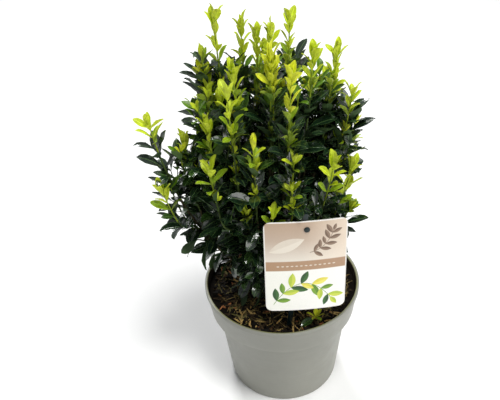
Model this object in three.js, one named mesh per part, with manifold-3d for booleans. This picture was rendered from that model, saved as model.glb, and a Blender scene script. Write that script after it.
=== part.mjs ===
// A Japanese spindle shrub in its nursery pot, with a picture label on a stick.
// Millimetres, +Z up. The origin is the middle of the pot's flat underside, and -Y is the front.

import * as THREE from "three";
import { mergeVertices } from "three/addons/utils/BufferGeometryUtils.js";
import Module from "manifold-3d";

const wasm = await Module();
wasm.setup();

// Driving dimensions
const potHeight = 146;
const rimRadius = 95;
const baseRadius = 69.5;
const collarHeight = 35;
const soilHeight = 134;
const crownBase = { x: -25, y: 4 };
const cardSize = { width: 88, height: 116, thickness: 0.8, corner: 6 };
const stickHeight = 159;

// Clearances
const touchGap = 0.35;
const cutGap = 0.45;

// Turned shapes: how many flats go round each
const potFlats = 32;
const massFlats = 6;
const limbFlats = 6;
const trunkFlats = 12;

// The trunk is a short woody crown, and limbs leave its top on a ring.
const trunkHeight = 20;
const trunkTopRadius = 9.5;
const forkHeight = soilHeight + trunkHeight - 3;
const limbRing = 6.6;
const limbRadius = { foot: 2.3, end: 1.5 };
const limbReachIntoMass = 7;

// A stem leaves the crown outwards, then turns up: its elbow lies this share of the way to the tip.
const elbowReach = 0.84;
const elbowRise = 0.34;

// Spread of the slender new growth at the top of every spire
const youngGirth = 9.5;

// Limbs, by the compass bearing at which each leaves the crown, and the spire that each one enters.
const limbs = {
  limb_left: { bearing: 180, enters: "spire_far_left" },
  limb_front_left: { bearing: 228, enters: "spire_front_left" },
  limb_front: { bearing: 274, enters: "spire_front" },
  limb_front_right: { bearing: 318, enters: "spire_long_front" },
  limb_right: { bearing: 2, enters: "spire_right" },
  limb_back_right: { bearing: 45, enters: "spire_back_right" },
  limb_back: { bearing: 90, enters: "spire_back" },
  limb_back_left: { bearing: 135, enters: "spire_back_left" },
};

// Spires: one upright shoot each. tip is its highest point, foot the height where its leaves begin,
// girth the spread of its old leaves, and young the length of its slender new growth.
const spires = {
  spire_tall_left: { limb: "limb_back_left", tip: [-54, 10, 487], foot: 236, girth: 22, young: 56 },
  spire_tall_middle: { limb: "limb_back", tip: [-30, 30, 473], foot: 232, girth: 22, young: 52 },
  spire_tall_right: { limb: "limb_back_right", tip: [22, 24, 478], foot: 228, girth: 23, young: 46 },
  spire_twin_left: { limb: "limb_back", tip: [-14, 12, 466], foot: 240, girth: 19, young: 40 },
  spire_twin_right: { limb: "limb_front_right", tip: [0, -3, 474], foot: 240, girth: 19, young: 36 },
  spire_bright: { limb: "limb_front", tip: [-4, -27, 463], foot: 226, girth: 22, young: 46 },
  spire_long_front: { limb: "limb_front_right", tip: [12, -45, 447], foot: 216, girth: 20, young: 60 },
  spire_right: { limb: "limb_right", tip: [39, 0, 450], foot: 212, girth: 24, young: 32 },
  spire_outer_right: { limb: "limb_right", tip: [64, 20, 443], foot: 206, girth: 23, young: 46 },
  spire_edge_right: { limb: "limb_right", tip: [82, 0, 402], foot: 190, girth: 25, young: 26 },
  spire_upper_left: { limb: "limb_front_left", tip: [-42, -15, 440], foot: 214, girth: 22, young: 30 },
  spire_front_left: { limb: "limb_front_left", tip: [-49, -42, 430], foot: 206, girth: 22, young: 38 },
  spire_shoulder_left: { limb: "limb_back_left", tip: [-73, 8, 450], foot: 208, girth: 27, young: 22 },
  spire_side_left: { limb: "limb_left", tip: [-72, -27, 392], foot: 190, girth: 22, young: 24 },
  spire_front: { limb: "limb_front", tip: [-27, -52, 377], foot: 192, girth: 22, young: 36 },
  spire_low_left: { limb: "limb_front_left", tip: [-73, -47, 348], foot: 180, girth: 21, young: 28 },
  spire_far_left: { limb: "limb_left", tip: [-136, -10, 390], foot: 214, girth: 23, young: 34 },
  spire_mid_left: { limb: "limb_left", tip: [-100, 0, 357], foot: 184, girth: 21, young: 20 },
  spire_outer_left: { limb: "limb_left", tip: [-127, -26, 319], foot: 188, girth: 22, young: 24 },
  spire_low_right: { limb: "limb_front_right", tip: [52, -50, 354], foot: 182, girth: 21, young: 42 },
  spire_side_right: { limb: "limb_right", tip: [83, -22, 333], foot: 170, girth: 22, young: 36 },
  spire_back_left: { limb: "limb_back_left", tip: [-80, 58, 380], foot: 190, girth: 24, young: 28 },
  spire_behind_left: { limb: "limb_back_left", tip: [-46, 58, 420], foot: 204, girth: 24, young: 30 },
  spire_behind_right: { limb: "limb_back", tip: [-8, 64, 428], foot: 204, girth: 24, young: 32 },
  spire_back_right: { limb: "limb_back_right", tip: [30, 58, 424], foot: 202, girth: 24, young: 32 },
  spire_far_right: { limb: "limb_back_right", tip: [62, 58, 396], foot: 190, girth: 24, young: 28 },
  spire_rear_left: { limb: "limb_back_left", tip: [-106, 36, 338], foot: 182, girth: 22, young: 24 },
  spire_rear_right: { limb: "limb_back_right", tip: [90, 34, 350], foot: 180, girth: 22, young: 26 },
  spire_back: { limb: "limb_back", tip: [-34, 90, 370], foot: 184, girth: 23, young: 28 },
  spire_last: { limb: "limb_back_right", tip: [18, 92, 362], foot: 182, girth: 23, young: 28 },
  spire_corner_left: { limb: "limb_back_left", tip: [-76, 84, 316], foot: 178, girth: 21, young: 24 },
  spire_corner_right: { limb: "limb_back_right", tip: [62, 86, 318], foot: 178, girth: 21, young: 24 },
};

// Low foliage that hides the foot of the plant: middle, height range and spread of each mass.
const skirts = {
  skirt_left: { middle: [-60, 8], from: 141, to: 214, girth: 25 },
  skirt_front: { middle: [-30, -30], from: 143, to: 222, girth: 25 },
  skirt_right: { middle: [24, -12], from: 143, to: 222, girth: 26 },
  skirt_back: { middle: [-18, 46], from: 142, to: 218, girth: 27 },
  skirt_back_right: { middle: [34, 40], from: 143, to: 216, girth: 25 },
  ground_shoot: { middle: [38, -61], from: soilHeight + touchGap, to: 154, girth: 11 },
};

const finishes = {
  pot: new THREE.MeshStandardMaterial({ color: 0x96978d, roughness: 0.55, metalness: 0 }),
  soil: new THREE.MeshStandardMaterial({ color: 0x2b1d14, roughness: 1, metalness: 0 }),
  bark: new THREE.MeshStandardMaterial({ color: 0x5d5136, roughness: 0.85, metalness: 0 }),
  leaves: new THREE.MeshStandardMaterial({ color: 0x1d3a1a, roughness: 0.4, metalness: 0 }),
  card: new THREE.MeshStandardMaterial({ color: 0xe9dccb, roughness: 0.4, metalness: 0 }),
  stick: new THREE.MeshStandardMaterial({ color: 0x1f3d36, roughness: 0.45, metalness: 0 }),
};

const model = new THREE.Group();

// Turns a geometry into a solid whose faces point out.
function solidOf(geometry) {
  const bare = new THREE.BufferGeometry();
  bare.setAttribute("position", geometry.getAttribute("position"));
  bare.setIndex(geometry.getIndex());
  const merged = mergeVertices(bare, 1e-3);
  const corners = merged.index.array;
  const kept = [];
  for (let i = 0; i < corners.length; i += 3) {
    const [a, b, c] = [corners[i], corners[i + 1], corners[i + 2]];
    if (a !== b && b !== c && c !== a) kept.push(a, b, c);
  }
  const build = (triangles) =>
    new wasm.Manifold(
      new wasm.Mesh({
        numProp: 3,
        vertProperties: merged.attributes.position.array,
        triVerts: new Uint32Array(triangles),
      }),
    );
  const solid = build(kept);
  if (solid.volume() > 0) return solid;
  return build(kept.toReversed());
}

function geometryOf(solid) {
  const mesh = solid.getMesh();
  const places = new Float32Array(mesh.numVert * 3);
  for (let i = 0; i < mesh.numVert; i++) {
    const start = i * mesh.numProp;
    places.set(mesh.vertProperties.subarray(start, start + 3), i * 3);
  }
  const geometry = new THREE.BufferGeometry();
  geometry.setAttribute("position", new THREE.BufferAttribute(places, 3));
  geometry.setIndex(new THREE.BufferAttribute(mesh.triVerts, 1));
  geometry.computeVertexNormals();
  return geometry;
}

function largestBody(solid) {
  return solid.decompose().reduce((best, body) => (body.volume() > best.volume() ? body : best));
}

function addPart(name, solid, finish) {
  const mesh = new THREE.Mesh(geometryOf(solid), finish);
  mesh.name = name;
  model.add(mesh);
}

// A body turned round Z from [radius, height] pairs.
function turned(profile, flats) {
  const geometry = new THREE.LatheGeometry(
    profile.map(([radius, height]) => new THREE.Vector2(radius, height)),
    flats,
  );
  geometry.rotateX(Math.PI / 2);
  return solidOf(geometry);
}

// Pot: a thin wall with a deep collar, a rolled lip, a foot ring and drain holes.
const wall = 1.8;
const ledgeHeight = potHeight - collarHeight;
const bodyTopRadius = 81.6;
const collarRadius = 90;
const collarTopRadius = 93.6;
const lipHeight = 5.5;
const recessDepth = 3;
const centrePad = 20;
const footRingInner = 60;
const floorTop = 5;
const drains = { count: 6, radius: 4, circle: 46, flats: 6 };

function innerRadiusAt(height) {
  if (height > ledgeHeight + wall) {
    const share = (height - ledgeHeight) / (potHeight - ledgeHeight);
    return THREE.MathUtils.lerp(collarRadius, collarTopRadius, share) - wall;
  }
  return THREE.MathUtils.lerp(baseRadius, bodyTopRadius, height / ledgeHeight) - wall;
}

function makePot() {
  const profile = [
    [0, 0],
    [centrePad, 0],
    [centrePad + 2, recessDepth],
    [footRingInner, recessDepth],
    [footRingInner + 2, 0],
    [baseRadius - 0.5, 0],
    [bodyTopRadius, ledgeHeight],
    [collarRadius, ledgeHeight],
    [collarTopRadius, potHeight - lipHeight],
    [rimRadius, potHeight - lipHeight],
    [rimRadius, potHeight],
    [innerRadiusAt(potHeight), potHeight],
    [innerRadiusAt(ledgeHeight + 4), ledgeHeight + 4],
    [innerRadiusAt(ledgeHeight), ledgeHeight + wall],
    [innerRadiusAt(floorTop), floorTop],
    [0, floorTop],
  ];
  let pot = turned(profile, potFlats);
  for (let i = 0; i < drains.count; i++) {
    const angle = (i / drains.count) * Math.PI * 2;
    const cutter = new THREE.CylinderGeometry(drains.radius, drains.radius, 20, drains.flats);
    cutter.rotateX(Math.PI / 2);
    cutter.translate(drains.circle * Math.cos(angle), drains.circle * Math.sin(angle), 0);
    pot = pot.subtract(solidOf(cutter));
  }
  return pot;
}

// Soil fills the pot to 12 mm under the rim, and dips a little at the wall.
const soilFlatRadius = 66;
const soilDip = 2.5;

function makeSoil() {
  const edge = soilHeight - soilDip;
  return turned(
    [
      [0, floorTop + touchGap],
      [innerRadiusAt(floorTop) - touchGap, floorTop + touchGap],
      [innerRadiusAt(ledgeHeight) - touchGap, ledgeHeight],
      [innerRadiusAt(ledgeHeight) - touchGap, ledgeHeight + wall + touchGap],
      [innerRadiusAt(ledgeHeight + 4) - touchGap - 0.3, ledgeHeight + 4 + touchGap],
      [innerRadiusAt(edge) - touchGap - 0.2, edge],
      [soilFlatRadius, soilHeight],
      [0, soilHeight],
    ],
    potFlats,
  );
}

// The woody crown at the foot of the plant, with its root flare.
function makeTrunk(grown) {
  const foot = grown > 0 ? -1 : touchGap;
  const trunk = turned(
    [
      [0, foot],
      [14 + grown, foot],
      [11.5 + grown, 4],
      [9.2 + grown, 11],
      [trunkTopRadius + grown, trunkHeight - 3],
      [trunkTopRadius - 1 + grown, trunkHeight + grown],
      [0, trunkHeight + grown],
    ],
    trunkFlats,
  );
  return trunk.translate([crownBase.x, crownBase.y, soilHeight]);
}

// The line that a stem follows from the crown to its tip.
function stemLine(limbName, tip) {
  const bearing = THREE.MathUtils.degToRad(limbs[limbName].bearing);
  const start = new THREE.Vector3(
    crownBase.x + limbRing * Math.cos(bearing),
    crownBase.y + limbRing * Math.sin(bearing),
    forkHeight,
  );
  const end = new THREE.Vector3(...tip);
  const elbow = new THREE.Vector3(
    THREE.MathUtils.lerp(start.x, end.x, elbowReach),
    THREE.MathUtils.lerp(start.y, end.y, elbowReach),
    THREE.MathUtils.lerp(start.z, end.z, elbowRise),
  );
  return new THREE.QuadraticBezierCurve3(start, elbow, end);
}

// The share of the way along a line at which it reaches a height.
function shareAtHeight(line, height) {
  let low = 0;
  let high = 1;
  for (let i = 0; i < 24; i++) {
    const middle = (low + high) / 2;
    if (line.getPoint(middle).z < height) low = middle;
    else high = middle;
  }
  return low;
}

// Lays an upright turned shape, whose height runs from 0 to 1, along a stretch of a line.
function laidAlong(profile, flats, line, from, to, uneven) {
  const geometry = new THREE.LatheGeometry(
    profile.map(([radius, height]) => new THREE.Vector2(radius, height)),
    flats,
  );
  const places = geometry.getAttribute("position");
  const here = new THREE.Vector3();
  for (let i = 0; i < places.count; i++) {
    here.fromBufferAttribute(places, i);
    const share = THREE.MathUtils.lerp(from, to, here.y);
    const point = line.getPoint(share);
    const along = line.getTangent(share);
    const across = new THREE.Vector3(1, 0, 0).addScaledVector(along, -along.x).normalize();
    const over = new THREE.Vector3().crossVectors(along, across);
    const swell = uneven ? uneven(Math.atan2(here.z, here.x), here.y) : 1;
    point.addScaledVector(across, here.x * swell).addScaledVector(over, here.z * swell);
    places.setXYZ(i, point.x, point.y, point.z);
  }
  return solidOf(geometry);
}

function makeLimb(name, grown) {
  const { enters } = limbs[name];
  const spire = spires[enters];
  const line = stemLine(name, spire.tip);
  const end = shareAtHeight(line, spire.foot + limbReachIntoMass + (grown > 0 ? 2 : 0));
  const profile = [
    [0, 0],
    [limbRadius.foot + grown, 0],
    [(limbRadius.foot + limbRadius.end) / 2 + grown, 0.5],
    [limbRadius.end + grown, 1],
    [0, 1],
  ];
  return laidAlong(profile, limbFlats, line, 0, end).subtract(makeTrunk(0.3));
}

// A spire is widest in its lower half, narrows at its shoulder and ends in slender new growth.
function makeSpire(spire, seed, grown) {
  const line = stemLine(spire.limb, spire.tip);
  const from = shareAtHeight(line, spire.foot - grown);
  const shoulder = shareAtHeight(line, spire.tip[2] - spire.young);
  const shoulderShare = (shoulder - from) / (1 - from);
  const profile = [
    [0, 0],
    [spire.girth * 0.75 + grown, 0.04],
    [spire.girth + grown, shoulderShare * 0.45],
    [spire.girth * 0.9 + grown, shoulderShare * 0.84],
    [youngGirth * 1.1 + grown, shoulderShare],
    [youngGirth * 0.8 + grown, 0.94],
    [0, 1],
  ];
  const uneven = (angle, height) =>
    1 + 0.13 * Math.sin(2 * angle + seed * 1.7 + height * 3) + 0.09 * Math.sin(3 * angle - seed + height * 9);
  return laidAlong(profile, massFlats, line, from, 1, uneven);
}

function makeSkirt({ middle, from, to, girth }, seed, grown) {
  const line = new THREE.LineCurve3(
    new THREE.Vector3(...middle, from - grown),
    new THREE.Vector3(...middle, to + grown),
  );
  const profile = [
    [0, 0],
    [girth * 0.7 + grown, 0.02],
    [girth + grown, 0.35],
    [girth * 0.8 + grown, 0.78],
    [0, 1],
  ];
  const uneven = (angle, height) => 1 + 0.1 * Math.sin(3 * angle + seed * 2.3 + height * 4);
  return laidAlong(profile, massFlats, line, 0, 1, uneven);
}

// Label: a bent card that hangs from a peg near the top of a stick.
const cardPose = { middle: [22, -76, 227], turn: 2.3, lean: 4.5, roll: -0.8, bow: 3 };
const stickFoot = new THREE.Vector3(3, -69, soilHeight);
const stickTop = new THREE.Vector3(23, -69, soilHeight + stickHeight);
const stickSize = { width: 5.2, thickness: 2.4, inSoil: 42, taper: 12 };
const peg = { across: 1, up: 48, shaft: 1.5, head: 3.2, hole: 2.2, headThickness: 1.6 };

function cardMatrix() {
  const turn = new THREE.Euler(
    THREE.MathUtils.degToRad(-cardPose.lean),
    THREE.MathUtils.degToRad(-cardPose.roll),
    THREE.MathUtils.degToRad(cardPose.turn),
    "ZXY",
  );
  return new THREE.Matrix4()
    .makeRotationFromEuler(turn)
    .setPosition(new THREE.Vector3(...cardPose.middle));
}

function cardBow(x) {
  return cardPose.bow * (x / (cardSize.width / 2)) ** 2;
}

function makeCard() {
  const { width, height, thickness, corner } = cardSize;
  const sheet = new THREE.BoxGeometry(width + 2, thickness, height + 2, 8, 1, 1);
  const places = sheet.getAttribute("position");
  for (let i = 0; i < places.count; i++) {
    places.setY(i, places.getY(i) + cardBow(places.getX(i)));
  }
  const [right, top] = [width / 2, height / 2];
  const outline = new THREE.Shape();
  outline.moveTo(-right + corner, -top);
  outline.lineTo(right - corner, -top);
  outline.absarc(right - corner, -top + corner, corner, -Math.PI / 2, 0);
  outline.lineTo(right, top - corner);
  outline.absarc(right - corner, top - corner, corner, 0, Math.PI / 2);
  outline.lineTo(-right + corner, top);
  outline.absarc(-right + corner, top - corner, corner, Math.PI / 2, Math.PI);
  outline.lineTo(-right, -top + corner);
  outline.absarc(-right + corner, -top + corner, corner, Math.PI, Math.PI * 1.5);
  const hole = new THREE.Path();
  hole.absarc(peg.across, peg.up, peg.hole, 0, Math.PI * 2, true);
  outline.holes.push(hole);
  const block = new THREE.ExtrudeGeometry(outline, { depth: 40, bevelEnabled: false, curveSegments: 3 });
  block.rotateX(Math.PI / 2);
  block.translate(0, 20, 0);
  return solidOf(sheet).intersect(solidOf(block));
}

function placed(solid, matrix) {
  return solid.transform(matrix.elements);
}

function makeStick(grown) {
  const down = new THREE.Vector3().subVectors(stickFoot, stickTop).normalize();
  const point = stickFoot.clone().addScaledVector(down, stickSize.inSoil);
  const length = point.distanceTo(stickTop);
  const half = stickSize.width / 2 + grown;
  const outline = new THREE.Shape();
  outline.moveTo(0, -length - grown * 3);
  outline.lineTo(half, -length + stickSize.taper);
  outline.lineTo(half, -half);
  outline.absarc(0, -half, half, 0, Math.PI);
  outline.lineTo(-half, -length + stickSize.taper);
  const thickness = stickSize.thickness + 2 * grown;
  const strip = new THREE.ExtrudeGeometry(outline, { depth: thickness, bevelEnabled: false, curveSegments: 5 });
  strip.translate(0, 0, -thickness / 2);
  strip.rotateX(Math.PI / 2);
  strip.rotateY(Math.atan2(-down.x, -down.z));
  strip.translate(stickTop.x, stickTop.y, stickTop.z);
  return solidOf(strip);
}

// The peg stands out of the stick, through the hole in the card, and its head holds the card.
function makePeg(matrix) {
  const centre = new THREE.Vector3(peg.across, cardBow(peg.across), peg.up).applyMatrix4(matrix);
  const behind = stickTop.y - stickSize.thickness / 2 + 0.6;
  const front = centre.y - cardSize.thickness / 2 - 0.5;
  const shaftLength = behind - front;
  const shaft = new THREE.CylinderGeometry(peg.shaft, peg.shaft, shaftLength, 10);
  shaft.translate(centre.x, (behind + front) / 2, centre.z);
  const head = new THREE.CylinderGeometry(peg.head, peg.head * 0.7, peg.headThickness, 12);
  head.translate(centre.x, front - peg.headThickness / 2 + 0.2, centre.z);
  return solidOf(shaft).add(solidOf(head));
}

// Assembly
const matrix = cardMatrix();
const pot = makePot();
addPart("pot", pot, finishes.pot);
addPart("soil", makeSoil().subtract(makeStick(0.3)), finishes.soil);
addPart("trunk", makeTrunk(0), finishes.bark);
addPart("label_card", placed(makeCard(), matrix), finishes.card);
const stick = makeStick(0).add(makePeg(matrix));
addPart("label_stick", stick, finishes.stick);

let room = makeTrunk(touchGap).add(makeStick(2)).add(makePeg(matrix));
const cardRoom = new THREE.BoxGeometry(cardSize.width + 6, 14, cardSize.height + 6);
room = room.add(placed(solidOf(cardRoom), matrix));
const rimRoom = turned(
  [
    [innerRadiusAt(potHeight) - 2, soilHeight - 4],
    [rimRadius + 2, soilHeight - 4],
    [rimRadius + 2, potHeight + touchGap],
    [innerRadiusAt(potHeight) - 2, potHeight + touchGap],
    [innerRadiusAt(potHeight) - 2, soilHeight - 4],
  ],
  potFlats,
);
room = room.add(rimRoom);

for (const name of Object.keys(limbs)) {
  addPart(name, makeLimb(name, 0), finishes.bark);
  room = room.add(makeLimb(name, touchGap));
}

const masses = [
  ...Object.entries(spires).map(([name, spire], i) => [name, (grown) => makeSpire(spire, i, grown)]),
  ...Object.entries(skirts).map(([name, skirt], i) => [name, (grown) => makeSkirt(skirt, i, grown)]),
];
for (const [name, make] of masses) {
  const mass = largestBody(make(0).subtract(room));
  addPart(name, mass, finishes.leaves);
  room = room.add(make(cutGap));
}

export default model;
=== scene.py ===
import math
import random

import bmesh
import bpy
import numpy as np
from mathutils import Matrix, Vector, noise


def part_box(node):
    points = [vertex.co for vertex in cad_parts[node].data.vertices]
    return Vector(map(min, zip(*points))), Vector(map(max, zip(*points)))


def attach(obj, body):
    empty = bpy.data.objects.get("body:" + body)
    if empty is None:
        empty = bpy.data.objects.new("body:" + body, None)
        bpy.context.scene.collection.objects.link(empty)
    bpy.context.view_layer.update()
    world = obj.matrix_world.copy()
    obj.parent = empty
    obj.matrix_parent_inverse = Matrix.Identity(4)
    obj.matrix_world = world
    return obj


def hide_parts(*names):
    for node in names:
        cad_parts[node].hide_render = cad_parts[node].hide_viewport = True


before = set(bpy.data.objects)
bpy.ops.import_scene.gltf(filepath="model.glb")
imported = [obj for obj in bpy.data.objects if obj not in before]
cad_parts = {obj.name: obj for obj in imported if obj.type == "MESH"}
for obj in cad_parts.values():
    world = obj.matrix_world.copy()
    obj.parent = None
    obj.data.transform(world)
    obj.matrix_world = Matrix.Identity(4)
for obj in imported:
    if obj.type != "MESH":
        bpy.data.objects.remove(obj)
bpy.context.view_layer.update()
mm = 0.001


def newObject(name, data):
    made = bpy.data.objects.new(name, data)
    bpy.context.scene.collection.objects.link(made)
    return made


def turned(degrees, axis):
    return Matrix.Rotation(math.radians(degrees), 4, axis)


# Rows of values under the names of their columns
def table(columns, rows):
    return {name: dict(zip(columns.split(), row)) for name, row in rows.items()}


# Camera: the lens and place that fit the pot's outline on a 500 by 400 picture
cameraView = {
    "place": Vector((-33.1, -584.1, 673.1)) * mm,
    "pitchDown": 34.91,
    "roll": -3.49,
    "lens": 45.38,
    "sensor": 36,
}


def addCamera():
    data = bpy.data.cameras.new("photoCamera")
    data.lens = cameraView["lens"]
    data.sensor_width = cameraView["sensor"]
    data.clip_start = 0.01
    camera = newObject("photoCamera", data)
    tilt, roll = turned(90 - cameraView["pitchDown"], "X"), turned(cameraView["roll"], "Z")
    camera.matrix_world = Matrix.Translation(cameraView["place"]) @ tilt @ roll
    bpy.context.scene.camera = camera


# Shader helpers
def newMaterial(name, colour, roughness, specular=0.5, settings=None):
    material = bpy.data.materials.new(name)
    material.use_nodes = True
    shader = material.node_tree.nodes["Principled BSDF"]
    shader.inputs["Base Color"].default_value = (*colour, 1)
    shader.inputs["Roughness"].default_value = roughness
    shader.inputs["Specular IOR Level"].default_value = specular
    for socket, value in (settings or {}).items():
        shader.inputs[socket].default_value = value
    return material


def addNode(material, kind, inputs=None, settings=None):
    node = material.node_tree.nodes.new(kind)
    for key, value in (settings or {}).items():
        setattr(node, key, value)
    for socket, value in (inputs or {}).items():
        if isinstance(value, bpy.types.NodeSocket):
            material.node_tree.links.new(value, node.inputs[socket])
        else:
            node.inputs[socket].default_value = value
    return node


def dressed(material, colour, normal=None, roughness=None):
    shader = material.node_tree.nodes["Principled BSDF"]
    for socket, value in (("Base Color", colour), ("Roughness", roughness), ("Normal", normal)):
        if value is not None:
            material.node_tree.links.new(value, shader.inputs[socket])
    return material


def objectCoords(material, stretch=(1, 1, 1)):
    coords = addNode(material, "ShaderNodeTexCoord").outputs["Object"]
    return addNode(material, "ShaderNodeMapping", {"Vector": coords, "Scale": stretch}).outputs["Vector"]


def noiseOf(material, coords, scale, detail=4, roughness=0.55):
    values = {"Vector": coords, "Scale": scale, "Detail": detail, "Roughness": roughness}
    return addNode(material, "ShaderNodeTexNoise", values).outputs["Fac"]


# A plain number stands for a grey
def rgba(colour):
    return (*colour, 1) if hasattr(colour, "__len__") else (colour, colour, colour, 1)


def ramp(material, factor, *stops):
    node = addNode(material, "ShaderNodeValToRGB", {"Fac": factor})
    elements = node.color_ramp.elements
    while len(elements) < len(stops):
        elements.new(0.5)
    for element, (place, colour) in zip(elements, stops):
        element.position = place
        element.color = rgba(colour)
    return node.outputs["Color"]


def mixColour(material, factor, first, second, blend="MIX"):
    first, second = (c if isinstance(c, bpy.types.NodeSocket) else rgba(c) for c in (first, second))
    settings = {"data_type": "RGBA", "blend_type": blend}
    return addNode(material, "ShaderNodeMix", {0: factor, 6: first, 7: second}, settings).outputs[2]


def multiplied(material, first, second):
    return mixColour(material, 1.0, first, second, "MULTIPLY")


def bump(material, height, strength, distance, normal=None):
    values = {"Height": height, "Strength": strength, "Distance": distance}
    if normal is not None:
        values["Normal"] = normal
    return addNode(material, "ShaderNodeBump", values).outputs["Normal"]


def calc(material, operation, *values):
    node = addNode(material, "ShaderNodeMath", dict(enumerate(values)), {"operation": operation})
    return node.outputs["Value"]


def product(material, first, *others):
    for other in others:
        first = calc(material, "MULTIPLY", first, other)
    return first


# Rises from 0 to 1 as the value goes from low to high
def rise(material, value, low, high):
    values = {"Value": value, "From Min": low, "From Max": high}
    return addNode(material, "ShaderNodeMapRange", values).outputs["Result"]


def partsOf(material, vector):
    return addNode(material, "ShaderNodeSeparateXYZ", {"Vector": vector}).outputs


# The shares across and along a leaf or the card
def ownUV(material):
    uv = addNode(material, "ShaderNodeUVMap", settings={"uv_map": "ownUV"}).outputs["UV"]
    parts = partsOf(material, uv)
    return parts["X"], parts["Y"]


def fromMiddle(material, share):
    return calc(material, "ABSOLUTE", calc(material, "SUBTRACT", share, 0.5))


# Piece helpers
def addPiece(name, mesh, materials, replaced=()):
    piece = newObject(name, mesh)
    for material in materials:
        mesh.materials.append(material)
    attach(piece, "root")
    if replaced:
        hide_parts(*replaced)
    return piece


def smoothed(mesh, sharpAngle):
    mesh.shade_smooth()
    mesh.set_sharp_from_angle(angle=math.radians(sharpAngle))
    return mesh


def meshOf(bm, name, sharpAngle=40):
    mesh = bpy.data.meshes.new(name)
    bm.to_mesh(mesh)
    bm.free()
    return smoothed(mesh, sharpAngle)


def spunBody(profile, steps, softCorners=0.0):
    bm = bmesh.new()
    verts = [bm.verts.new((radius, 0, height)) for radius, height in profile]
    for first, second in zip(verts, verts[1:]):
        bm.edges.new((first, second))
    if softCorners:
        corners = [v for v in bm.verts if len(v.link_edges) == 2]
        bmesh.ops.bevel(bm, geom=corners, offset=softCorners, offset_type="OFFSET", affect="VERTICES",
                        segments=3, profile=0.5, material=-1, clamp_overlap=True)
    bmesh.ops.spin(bm, geom=bm.verts[:] + bm.edges[:], cent=(0, 0, 0), axis=(0, 0, 1),
                   angle=math.tau, steps=steps, use_merge=True, use_duplicate=False)
    bmesh.ops.remove_doubles(bm, verts=bm.verts, dist=0.01 * mm)
    bmesh.ops.recalc_face_normals(bm, faces=bm.faces)
    return bm


def finishedMesh(worker, name):
    bpy.context.view_layer.update()
    mesh = bpy.data.meshes.new_from_object(worker.evaluated_get(bpy.context.evaluated_depsgraph_get()))
    mesh.name = name
    bpy.data.objects.remove(worker)
    return mesh


def addRod(bm, radius, place):
    bmesh.ops.create_cone(bm, cap_ends=True, segments=24, radius1=radius, radius2=radius, depth=20 * mm,
                          matrix=place)


def extruded(bm, faces, offset):
    made = bmesh.ops.extrude_face_region(bm, geom=faces)["geom"]
    bmesh.ops.translate(bm, verts=[v for v in made if isinstance(v, bmesh.types.BMVert)], vec=offset)


# Every face gets its material slot, and every corner its place on the piece's own map
def mapFaces(bm, faces, slotOf, mapOf):
    uvLayer = bm.loops.layers.uv.active or bm.loops.layers.uv.new("ownUV")
    for face in faces:
        face.material_index = slotOf(face)
        for loop in face.loops:
            loop[uvLayer].uv = mapOf(loop.vert.co)


# The rods in a bmesh are cut out of a mesh
def punched(mesh, rods, name, sharpAngle):
    punch = newObject("punch", meshOf(rods, "punch"))
    worker = newObject(name, mesh)
    cut = worker.modifiers.new("cut", "BOOLEAN")
    cut.operation = "DIFFERENCE"
    cut.solver = "EXACT"
    cut.object = punch
    cutMesh = finishedMesh(worker, name)
    bpy.data.objects.remove(punch)
    cutMesh.materials.clear()
    return smoothed(cutMesh, sharpAngle)


# A template is a small mesh held as arrays, so that thousands of copies can be joined
def templateOf(bm):
    bm.verts.index_update()
    uvLayer = bm.loops.layers.uv.active
    loops = [loop for face in bm.faces for loop in face.loops]
    template = {
        "points": np.array([v.co for v in bm.verts]),
        "corners": np.array([loop.vert.index for loop in loops]),
        "sizes": np.array([len(face.verts) for face in bm.faces]),
        "slots": np.array([face.material_index for face in bm.faces]),
        "uvs": np.array([loop[uvLayer].uv for loop in loops]) if uvLayer else None,
    }
    bm.free()
    return template


def joinedCopies(name, templates, copies, sharpAngle=50):
    used = [templates[which] for which, matrix in copies]
    starts = np.cumsum([0] + [len(template["points"]) for template in used])
    points = np.concatenate([template["points"] @ np.array(matrix.to_3x3()).T + np.array(matrix.translation)
                             for template, (which, matrix) in zip(used, copies)])
    corners = np.concatenate([template["corners"] + start for template, start in zip(used, starts)])
    sizes, slots = (np.concatenate([template[key] for template in used]) for key in ("sizes", "slots"))
    mesh = bpy.data.meshes.new(name)
    mesh.vertices.add(len(points))
    mesh.vertices.foreach_set("co", points.astype(np.float32).ravel())
    mesh.loops.add(len(corners))
    mesh.polygons.add(len(sizes))
    mesh.polygons.foreach_set("loop_start", np.concatenate(([0], np.cumsum(sizes)[:-1])).astype(np.int32))
    mesh.polygons.foreach_set("vertices", corners.astype(np.int32))
    mesh.polygons.foreach_set("material_index", slots.astype(np.int32))
    if used[0]["uvs"] is not None:
        uvs = np.concatenate([template["uvs"] for template in used])
        mesh.uv_layers.new(name="ownUV").data.foreach_set("uv", uvs.astype(np.float32).ravel())
    mesh.update(calc_edges=True)
    mesh.validate()
    return smoothed(mesh, sharpAngle)


# Floor and light
studio = {
    "floorRadius": 9,
    "floorColour": (0.96, 0.96, 0.96),
    "worldColour": (0.96, 0.98, 1.0),
    "worldStrength": 0.28,
    "aim": Vector((0, 0, 0.22)),
    "softboxes": table("place size power colour", {
        "behind": (Vector((-0.4, 1.9, 2.0)), 0.75, 38, (1.0, 1.0, 1.0)),
        "overhead": (Vector((0.4, -0.6, 2.5)), 0.7, 39, (1.0, 1.0, 0.98)),
        "frontRight": (Vector((2.0, -1.9, 1.3)), 2.4, 39, (1.0, 0.99, 0.96)),
    }),
}


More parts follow.
